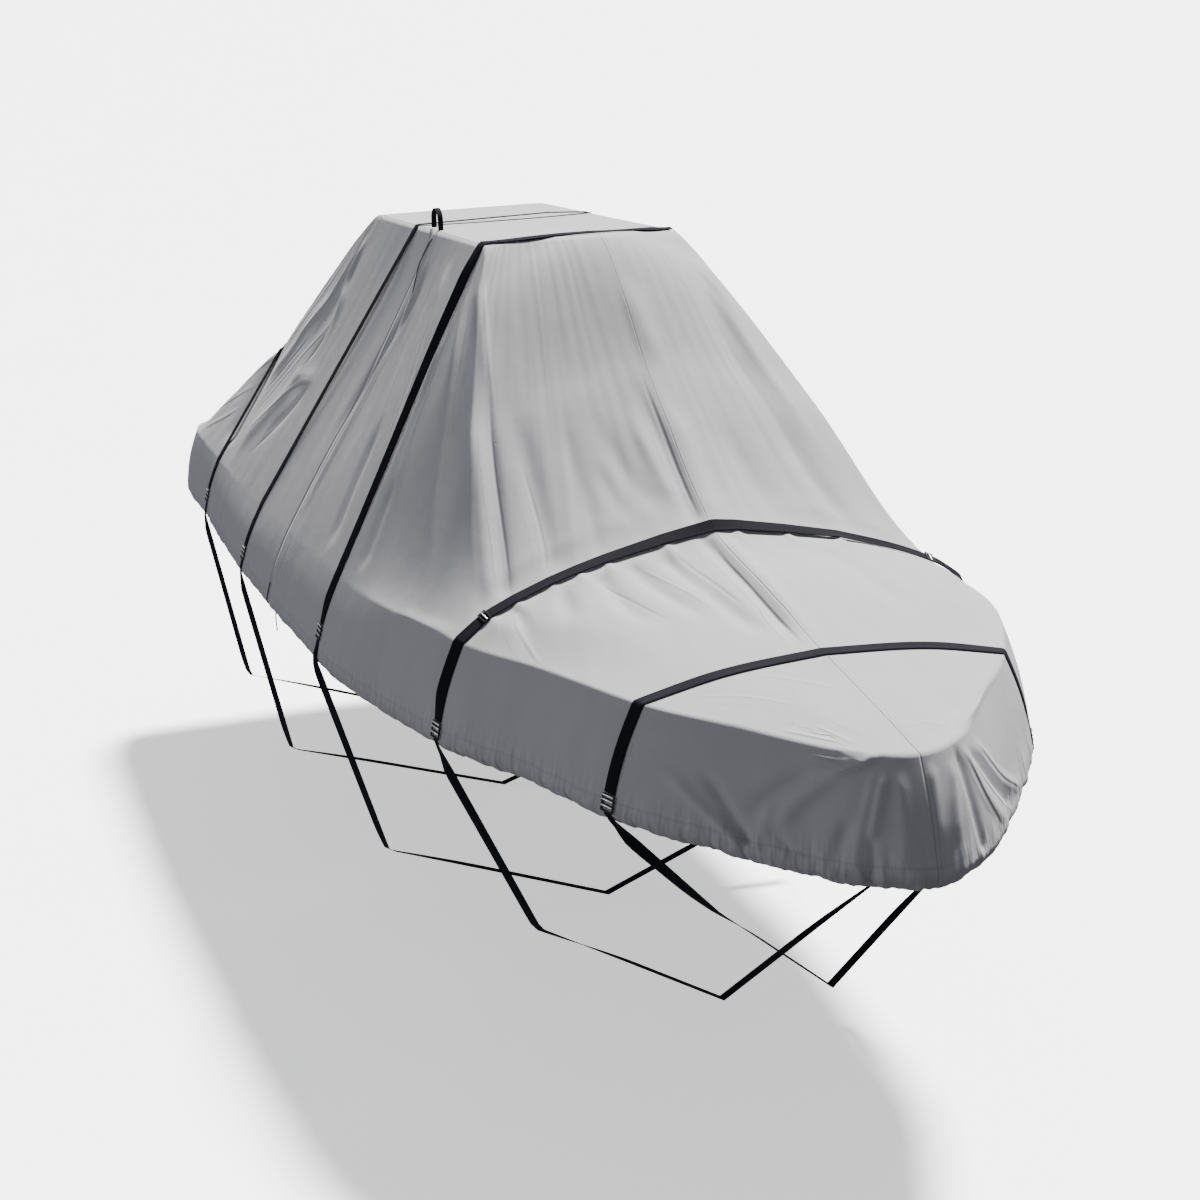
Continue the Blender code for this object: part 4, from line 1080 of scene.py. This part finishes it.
def webbingFinish():
    finish = Finish("black polyester webbing")
    weave, across, along = finish.weave()
    columns = (across * 2400.0).sine()
    ribs = (along * 1500.0).sine()
    chevron = (along * 1500.0 + columns * 1.3).sine()
    fuzz = finish.noise(finish.stretch(weave, (300.0, 120.0, 1.0)), 1.0, 3.0)
    worn = finish.noise(finish.stretch(weave, (30.0, 4.0, 1.0)), 1.0, 3.0).above(0.55, 0.2)
    edge = across.size().above(0.0212, 0.002)
    tone = finish.mix(
        fuzz * 0.5 + ribs * 0.12, (0.006, 0.006, 0.009, 1.0), (0.014, 0.014, 0.018, 1.0))
    tone = finish.mix(worn * 0.30, tone, (0.022, 0.022, 0.026, 1.0))
    tone = finish.mix(edge * 0.6, tone, (0.005, 0.005, 0.008, 1.0))
    return finish.surface({
        "Base Color": tone, "Roughness": 0.62 + fuzz * 0.2,
        "Normal": finish.bump(chevron * 0.6 + columns * 0.4, 0.0005, 0.8),
        "Specular IOR Level": 0.03})


def gridSkin(grid):
    rows, columns = grid.shape[:2]
    faces = gridFaces(rows, columns)[:, (0, 3, 2, 1)].tolist()
    faces.append(list(range(columns - 1)))  # closes the top
    return BVHTree.FromPolygons(grid.reshape(-1, 3).tolist(), faces)


def strapX(name, row, y, z):
    away = np.abs(y)
    share = 1.0 - np.minimum(1.0, away / section("creaseHalf", row["lowX"]))
    low = row["lowX"] + (row["keelX"] - row["lowX"]) * share
    middle = row["overX"]
    if name == "strap_3":  # it runs along the top's bowed front edge
        bowOut = ringCurve("topX", 0.0) - row["overX"] - webbing["width"]
        middle = middle + bowOut * (1.0 - np.minimum(1.0, away / cloth["topHalfWidth"]) ** 2)
    sideRun = webbing["sideY"] - cloth["topHalfWidth"]
    side = np.clip((away - cloth["topHalfWidth"]) / sideRun, 0.0, 1.0)
    over = middle + (row["lowX"] - row["overX"]) * side
    return np.where(z < row["buckleZ"] - webbing["buckleLength"], low, over)


def tautLoop(points):
    # the outline that a taut strap makes round all of the points
    ordered = sorted(set(map(tuple, points)))
    halves = []
    for row in (ordered, ordered[::-1]):
        half = []
        for point in row:
            while len(half) > 1:
                (y0, z0), (y1, z1) = half[-2:]
                if (y1 - y0) * (point[1] - z0) - (z1 - z0) * (point[0] - y0) < 0.0:
                    break
                half.pop()
            half.append(point)
        halves.append(half[:-1])
    loop = np.array(halves[0] + halves[1])
    return np.roll(loop, -int(np.argmin(loop[:, 1])), axis=0)


def strapEdge(name, row, shift, skin):
    clear = webbing["clear"]
    found = [(0.0, row["keelZ"])]
    found += [(side * row["chineY"], row["chineZ"]) for side in (-1.0, 1.0)]
    hemZ, creaseZ = (float(section(height, row["lowX"])) for height in ("hemZ", "creaseZ"))
    for y in np.linspace(-webbing["sideY"], webbing["sideY"], strapCast["over"]):
        start = Vector((float(strapX(name, row, y, 0.0)) + shift, y, strapCast["from"]))
        hit = skin.ray_cast(start, Vector((0.0, 0.0, -1.0)))[0]
        if hit is not None and hit.z > hemZ + webbing["hemTuck"]:
            found.append((hit.y, hit.z + clear))
    for side in (-1.0, 1.0):
        for z in np.linspace(hemZ, creaseZ, strapCast["side"]):
            start = Vector((row["lowX"] + shift, side * strapCast["from"], z))
            hit = skin.ray_cast(start, Vector((0.0, -side, 0.0)))[0]
            if hit is not None:
                found.append((hit.y + side * clear, z - clear))
    return tautLoop(found)


def loopAt(loop, pivot, turns):
    # points of the loop, seen from its pivot at these angles
    angles = np.arctan2(loop[:, 0], loop[:, 1] - pivot)
    order = np.argsort(angles)
    loop, angles = loop[order], angles[order]
    i = np.searchsorted(angles, turns) % len(loop)
    a, b = loop[i - 1], loop[i]
    run = b - a
    ray = np.column_stack([np.sin(turns), np.cos(turns)])
    across = run[:, 0] * ray[:, 1] - run[:, 1] * ray[:, 0]
    share = ((a[:, 1] - pivot) * ray[:, 0] - a[:, 0] * ray[:, 1]) / across
    return a + share[:, None] * run


def turnAtHeight(loop, pivot, side, height):
    for a, b in zip(loop, np.roll(loop, -1, axis=0)):
        if min(a[1], b[1]) <= height <= max(a[1], b[1]) and (a[0] + b[0]) * side > 0.0:
            spot = a + (height - a[1]) / (b[1] - a[1]) * (b - a)
            return math.atan2(spot[0], spot[1] - pivot)
    raise ValueError("the strap's loop does not reach this height")


def evenTurns(loop, pivot, start, stop, step):
    dense = np.linspace(start, stop, strapCast["dense"])
    way = wayAlong(loopAt(loop, pivot, dense))
    count = max(4, int(way[-1] / step))
    return np.interp(np.linspace(0.0, way[-1], count), way, dense)


def strapLines(name, row, loops, width, turns):
    pivot = row["buckleZ"] - webbing["pivotDrop"]
    lines = []
    for loop, shift in zip(loops, (-width / 2, width / 2)):
        spots = loopAt(loop, pivot, turns)
        x = strapX(name, row, spots[:, 0], spots[:, 1]) + shift
        lines.append(np.column_stack([x, spots]))
    return lines


def overLean(line, middleLean, cornerLean, sideLean):
    away = np.abs(line[:, 1])
    corner = smoothStep((away - leaning["cornerFrom"]) / leaning["cornerBlend"])
    sideRun = webbing["sideY"] - cloth["topHalfWidth"]
    side = smoothStep((away - cloth["topHalfWidth"]) / sideRun)
    return middleLean + (cornerLean - middleLean) * corner + (sideLean - cornerLean) * side


def leanBack(lines, lean, ease):
    # the aft edge lifts off the cloth, so that the strap's face turns to the bow
    aft, fore = lines
    along = np.gradient((aft + fore) / 2, axis=0)
    across = aft - fore
    width = np.linalg.norm(across, axis=1)[:, None]
    across /= width
    out = np.cross(across, along)
    out /= np.linalg.norm(out, axis=1)[:, None]
    inward = (out[:, 1:] * (fore[:, 1:] - (0.0, leaning["heartZ"]))).sum(axis=1) < 0.0
    out[inward] *= -1.0
    fromStart = np.arange(len(fore))
    ends = smoothStep(np.minimum(fromStart, fromStart[::-1]) / ease)
    lean = (np.radians(lean) * ends)[:, None]
    return [fore + width * (np.cos(lean) * across + np.sin(lean) * out), fore]


def narrowEnds(lines):
    # below each buckle the webbing is folded double, then it opens out
    middle = (lines[0] + lines[1]) / 2
    way = wayAlong(middle)
    fromEnd = np.minimum(way, way[-1] - way)
    opened = smoothStep((fromEnd - webbing["foldedLength"]) / webbing["neckLength"])
    least = webbing["neck"] / webbing["lowWidth"]
    share = (least + (1.0 - least) * opened)[:, None]
    return [middle + (line - middle) * share for line in lines]


def ribbonMesh(name, first, second, thickness):
    middle = (first + second) / 2
    way = wayAlong(middle)
    out = np.cross(np.gradient(middle, axis=0), first - second)
    out /= np.linalg.norm(out, axis=1)[:, None]
    profile = webbing["profile"]
    ring = [first + (second - first) * share + out * thickness * lift for share, lift in profile]
    ring += [first + (second - first) * share for share, lift in profile[::-1]]
    count = len(ring)
    spots = np.stack(ring, axis=1).reshape(-1, 3)
    faces = []
    for start in range(0, (len(middle) - 1) * count, count):
        for j in range(count):
            k = (j + 1) % count
            faces.append((start + j, start + k, start + count + k, start + count + j))
    faces.append(tuple(range(count)))
    faces.append(tuple(range(len(spots) - count, len(spots))))
    mesh = bpy.data.meshes.new(name)
    mesh.from_pydata(spots.tolist(), [], faces)
    layer = mesh.uv_layers.new(name="weave")
    shares = [share for share, lift in profile + profile[::-1]]
    width = float(np.linalg.norm(first[0] - second[0]))
    for loop in mesh.loops:
        i, j = divmod(loop.vertex_index, count)
        layer.data[loop.index].uv = ((shares[j] - 0.5) * width, way[i])
    bm = bmesh.new()
    bm.from_mesh(mesh)
    bmesh.ops.recalc_face_normals(bm, faces=bm.faces)
    bm.to_mesh(mesh)
    bm.free()
    return mesh, way[-1]


def addRibbon(name, node, lines, finish):
    mesh, length = ribbonMesh(name, lines[0], lines[1], webbing["thickness"])
    piece = addPiece(name, mesh, node, finish)
    print(name, round(float(length), 3), "m of webbing")


def addStrap(name, row, skin, finish):
    width = webbing["width"]
    loops = [strapEdge(name, row, shift, skin) for shift in (-width / 2, width / 2)]
    pivot = row["buckleZ"] - webbing["pivotDrop"]
    port, starboard = (
        [turnAtHeight(loops[0], pivot, side, row["buckleZ"] - drop)
         for drop in (0.0, webbing["buckleLength"])]
        for side in (1, -1))
    label = name.replace("_", "")
    turns = evenTurns(loops[0], pivot, starboard[0], port[0], webbing["step"])
    over = strapLines(name, row, loops, width, turns)
    if name in strapLeans:
        over = leanBack(over, overLean(over[1], *strapLeans[name]), leaning["overEase"])
    addRibbon(label + "Over", name + "_over", over, finish)

    keel = math.pi - 1e-6
    turns = np.concatenate([
        evenTurns(loops[0], pivot, start, stop, webbing["lowStep"])
        for start, stop in ((port[1], keel), (-keel, starboard[1]))])
    low = narrowEnds(strapLines(name, row, loops, webbing["lowWidth"], turns))
    aboveKeel = low[1][:, 2] - row["keelZ"]
    besideHull = smoothStep((aboveKeel - leaning["keelFree"]) / leaning["keelBlend"])
    low = leanBack(low, lowLeans[name] * besideHull, leaning["lowEase"])
    addRibbon(label + "Under", name + "_under", low, finish)

    # where each buckle goes: the strap's end above it and the lower run's end below it
    places = {}
    for side, topEnd, lowEnd in ((-1, 0, -1), (1, -1, 0)):
        topSpot = (over[0][topEnd] + over[1][topEnd]) / 2
        lowSpot = (low[0][lowEnd] + low[1][lowEnd]) / 2
        places[side] = (topSpot, lowSpot, over[1][topEnd] - over[0][topEnd])
    return places, over


webbingBlack = webbingFinish()
canvasSkin = gridSkin(clothPoints)
buckleSpots = {}
overLines = {}
for strapName, values in straps.items():
    strapRow = dict(zip(strapNames, values))
    buckleSpots[strapName], overLines[strapName] = addStrap(
        strapName, strapRow, canvasSkin, webbingBlack)

# buckle: a ladder frame with pale rods, set between a strap's end and its lower run
buckle = {
    "length": 0.064,
    "width": 0.061,
    "bars": 3,
    "depth": 0.0056,
    "rim": 0.0050,
    "rodRadius": 0.0028,
    "rodShort": 0.006,  # a rod is this much shorter than the frame is wide
    "rodProud": 0.3,
    "bevel": 0.0011,
    "lift": 0.001,
}
# small sliders on the second strap
slider = {
    "length": 0.036,
    "width": 0.056,
    "bars": 2,
    "depth": 0.0046,
    "rim": 0.0052,
    "rodRadius": 0.0022,
    "rodShort": 0.008,
    "bevel": 0.0011,
    "lift": 0.0004,
    "y": 0.93,
    "above": -1.25,  # on the slope, not on the skirt
}


def plasticFinish():
    finish = Finish("black buckle plastic")
    where = finish.place()
    grain = finish.noise(where, 900.0, 2.0)
    scuff = finish.noise(where, 130.0, 4.0).above(0.58, 0.1)
    tone = finish.mix(scuff * 0.4, (0.012, 0.012, 0.014, 1.0), (0.045, 0.045, 0.048, 1.0))
    return finish.surface({
        "Base Color": tone, "Roughness": 0.55 + scuff * 0.2,
        "Normal": finish.bump(grain, 0.0003, 0.5), "Specular IOR Level": 0.15})


def rodFinish():
    finish = Finish("nickel rod")
    where = finish.place()
    brushed = finish.noise(finish.stretch(where, (60.0, 900.0, 900.0)), 1.0, 2.0)
    spots = finish.noise(where, 240.0, 4.0).above(0.60, 0.08)
    tone = finish.mix(spots * 0.5, (0.74, 0.74, 0.73, 1.0), (0.38, 0.36, 0.33, 1.0))
    return finish.surface({
        "Base Color": tone, "Roughness": 0.26 + brushed * 0.2 + spots * 0.2, "Metallic": 0.85,
        "Normal": finish.bump(brushed, 0.0002, 0.5)})


def roundEdges(piece, width):
    rounding = piece.modifiers.new("rounding", "BEVEL")
    rounding.width = width
    rounding.segments = 2
    rounding.limit_method = "ANGLE"
    bpy.ops.object.modifier_apply(modifier="rounding")


def makeLadder(fitting, plastic):
    deselectAll()
    bpy.ops.mesh.primitive_grid_add(x_subdivisions=1, y_subdivisions=fitting["bars"], size=1.0)
    ladder = bpy.context.object
    ladder.scale = (fitting["width"], fitting["length"], 1.0)
    bpy.ops.object.transform_apply(location=True, rotation=True, scale=True)
    bpy.ops.object.mode_set(mode="EDIT")
    bpy.ops.mesh.select_mode(type="FACE")
    bpy.ops.mesh.select_all(action="SELECT")
    bpy.ops.mesh.inset(thickness=fitting["rim"], use_individual=True, use_boundary=True)
    bpy.ops.mesh.delete(type="FACE")
    bpy.ops.mesh.select_all(action="SELECT")
    bpy.ops.mesh.extrude_region_move(
        TRANSFORM_OT_translate={"value": (0.0, 0.0, fitting["depth"])})
    bpy.ops.mesh.select_all(action="SELECT")
    bpy.ops.mesh.normals_make_consistent(inside=False)
    bpy.ops.object.mode_set(mode="OBJECT")
    roundEdges(ladder, fitting["bevel"])
    ladder.data.materials.append(plastic)
    return ladder


def makeRod(fitting, y, z, metal):
    radius = fitting["rodRadius"]
    deselectAll()
    bpy.ops.mesh.primitive_cylinder_add(
        vertices=14, radius=radius, depth=fitting["width"] - fitting["rodShort"],
        end_fill_type="NGON", location=(0.0, y, z), rotation=(0.0, math.pi / 2, 0.0))
    rod = bpy.context.object
    bpy.ops.object.transform_apply(location=True, rotation=True, scale=True)
    for face in rod.data.polygons:
        face.select = abs(face.normal.x) > 0.9  # the two ends
    bpy.ops.object.mode_set(mode="EDIT")
    bpy.ops.mesh.select_mode(type="FACE")
    bpy.ops.mesh.inset(thickness=radius * 0.3, use_individual=True)
    bpy.ops.object.mode_set(mode="OBJECT")
    roundEdges(rod, radius * 0.35)
    rod.data.materials.append(metal)
    return rod


def makeFitting(name, fitting, rodPlaces, rodZ, plastic, metal):
    ladder = makeLadder(fitting, plastic)
    rods = [makeRod(fitting, y, rodZ, metal) for y in rodPlaces]
    deselectAll()
    for piece in [ladder] + rods:
        piece.select_set(True)
    bpy.context.view_layer.objects.active = ladder
    bpy.ops.object.join()
    bpy.ops.object.shade_smooth_by_angle(angle=math.radians(35.0))
    ladder.name = name
    ladder.data.name = name
    return ladder


def addFitting(model, name, node, middle, along, across, outward, lift):
    # a copy of the model, squared up to the webbing and facing away from the cloth
    along = Vector(along).normalized()
    across = Vector(across)
    across = (across - along * across.dot(along)).normalized()
    out = across.cross(along).normalized()
    if out.dot(Vector(outward)) < 0.0:
        across, out = -across, -out
    mesh = model.data.copy()
    mesh.name = name
    turned = Matrix((across, along, out)).transposed().to_4x4()
    mesh.transform(Matrix.Translation(Vector(middle) + out * lift) @ turned)
    addPiece(name, mesh, node)


sideWords = {-1: "starboard", 1: "port"}


def addBuckles(plastic, metal):
    third = buckle["length"] / 3.0
    rodPlaces = (-third / 2, third / 2, buckle["length"] / 2 - buckle["rim"])
    rodZ = buckle["depth"] + buckle["rodRadius"] * buckle["rodProud"]
    model = makeFitting("buckleModel", buckle, rodPlaces, rodZ, plastic, metal)
    for strap, places in buckleSpots.items():
        for side, (topSpot, lowSpot, across) in places.items():
            word = sideWords[side]
            name = strap.replace("_", "") + "Buckle" + word.capitalize()
            addFitting(
                model, name, f"{strap}_buckle_{word}", (topSpot + lowSpot) / 2,
                topSpot - lowSpot, across, (0.0, side, 0.0), buckle["lift"])
    bpy.data.objects.remove(model, do_unlink=True)
    print("buckles:", 2 * len(buckleSpots))


def addSliders(plastic, metal):
    model = makeFitting("sliderModel", slider, (0.0,), slider["depth"], plastic, metal)
    first, second = overLines["strap_2"]
    line = (first + second) / 2
    onSkirt = line[:, 2] < slider["above"]
    for side, word in sideWords.items():
        spot = int(np.argmin(np.abs(line[:, 1] - side * slider["y"]) + 10.0 * onSkirt))
        addFitting(
            model, "strap2Slider" + word.capitalize(), f"strap_2_clip_{word}", line[spot],
            line[spot + 1] - line[spot - 1], second[spot] - first[spot], (0.0, 0.0, 1.0),
            webbing["thickness"] + slider["lift"])
    bpy.data.objects.remove(model, do_unlink=True)
    print("sliders:", len(sideWords))


plasticBlack = plasticFinish()
rodNickel = rodFinish()
addBuckles(plasticBlack, rodNickel)
addSliders(plasticBlack, rodNickel)

# webbing loop on the top's starboard edge
tieLoop = {
    "x": 0.09,
    "halfSpan": 0.055,
    "height": 0.095,
    "width": 0.025,
    "thickness": 0.003,
    "edgeInset": 0.008,
    "lift": 0.004,
    "turnStep": 10,
}


def addTieLoop(finish):
    halfSpan = tieLoop["halfSpan"]
    base = topHeight(tieLoop["x"], -cloth["topHalfWidth"]) + tieLoop["lift"]
    line = [(tieLoop["x"] + halfSpan, 0.0, base)]
    for turn in np.radians(np.arange(0, 181, tieLoop["turnStep"])):
        rise = tieLoop["height"] - halfSpan + halfSpan * math.sin(turn)
        line.append((tieLoop["x"] + halfSpan * math.cos(turn), 0.0, base + rise))
    line.append((tieLoop["x"] - halfSpan, 0.0, base))
    near = np.array(line) + (0.0, tieLoop["edgeInset"] - cloth["topHalfWidth"], 0.0)
    far = near + (0.0, tieLoop["width"], 0.0)
    mesh, length = ribbonMesh("topTieLoop", far, near, tieLoop["thickness"])
    piece = addPiece("topTieLoop", mesh, "top_tie_loop", finish)
    print("topTieLoop", round(float(length), 3), "m of webbing")


addTieLoop(webbingBlack)

# floor and light
studio = {
    "floorZ": -2.965,
    "floorHalf": 120.0,
    "floorDark": (0.93, 0.93, 0.93, 1.0),
    "floorPale": (0.96, 0.96, 0.96, 1.0),
    "floorGlow": 0.8,
    "skyHigh": (0.30, 0.315, 0.365, 1.0),
    "skyLow": (0.37, 0.37, 0.41, 1.0),
    "skyBlend": (-0.25, 0.9),
    "key": {
        "towards": (-1.62, 1.70, 3.62), "strength": 17.2, "angle": 9.0,
        "tone": (1.0, 0.985, 0.96)},
    "fill": {
        "towards": (-0.35, -1.00, 0.10), "strength": 1.05, "angle": 24.0,
        "tone": (0.96, 0.97, 1.0)},
}


def floorFinish():
    finish = Finish("pale studio floor")
    cloudy = finish.noise(finish.place(), 0.6, 1.0)
    # a faint glow of its own keeps the shadow on the floor pale
    return finish.surface({
        "Base Color": finish.mix(cloudy, studio["floorDark"], studio["floorPale"]),
        "Roughness": 0.8 + cloudy * 0.1,
        "Emission Color": (1.0, 1.0, 1.0, 1.0), "Emission Strength": studio["floorGlow"]})


def addFloor():
    deselectAll()
    bpy.ops.mesh.primitive_plane_add(
        size=2.0 * studio["floorHalf"], location=(0.0, 0.0, studio["floorZ"]))
    floor = bpy.context.object
    floor.name = "studioFloor"
    floor.data.materials.append(floorFinish())
    floor.active_material.cycles.emission_sampling = "NONE"
    floor.visible_diffuse = False  # the cloth's shaded side stays clear of the floor's glare
    floor.visible_glossy = False


def addLight(name, lamp):
    light = bpy.data.lights.new(name, "SUN")
    light.energy = lamp["strength"]
    light.angle = math.radians(lamp["angle"])
    light.color = lamp["tone"]
    holder = bpy.data.objects.new(name, light)
    holder.rotation_mode = "QUATERNION"
    holder.rotation_quaternion = Vector(lamp["towards"]).to_track_quat("Z", "Y")
    bpy.context.scene.collection.objects.link(holder)


def addWorld():
    world = bpy.data.worlds.new("studioWorld")
    world.use_nodes = True
    tree = world.node_tree
    where = tree.nodes.new("ShaderNodeTexCoord")
    parts = tree.nodes.new("ShaderNodeSeparateXYZ")
    blend = tree.nodes.new("ShaderNodeMapRange")
    blend.inputs["From Min"].default_value, blend.inputs["From Max"].default_value = (
        studio["skyBlend"])
    tone = tree.nodes.new("ShaderNodeMix")
    tone.data_type = "RGBA"
    tone.inputs[6].default_value = studio["skyLow"]
    tone.inputs[7].default_value = studio["skyHigh"]
    tree.links.new(where.outputs["Generated"], parts.inputs["Vector"])
    tree.links.new(parts.outputs["Z"], blend.inputs["Value"])
    tree.links.new(blend.outputs["Result"], tone.inputs[0])
    tree.links.new(tone.outputs[2], tree.nodes["Background"].inputs["Color"])
    bpy.context.scene.world = world


addFloor()
addLight("keyLight", studio["key"])
addLight("fillLight", studio["fill"])
addWorld()
print("floor, lights and sky are in")
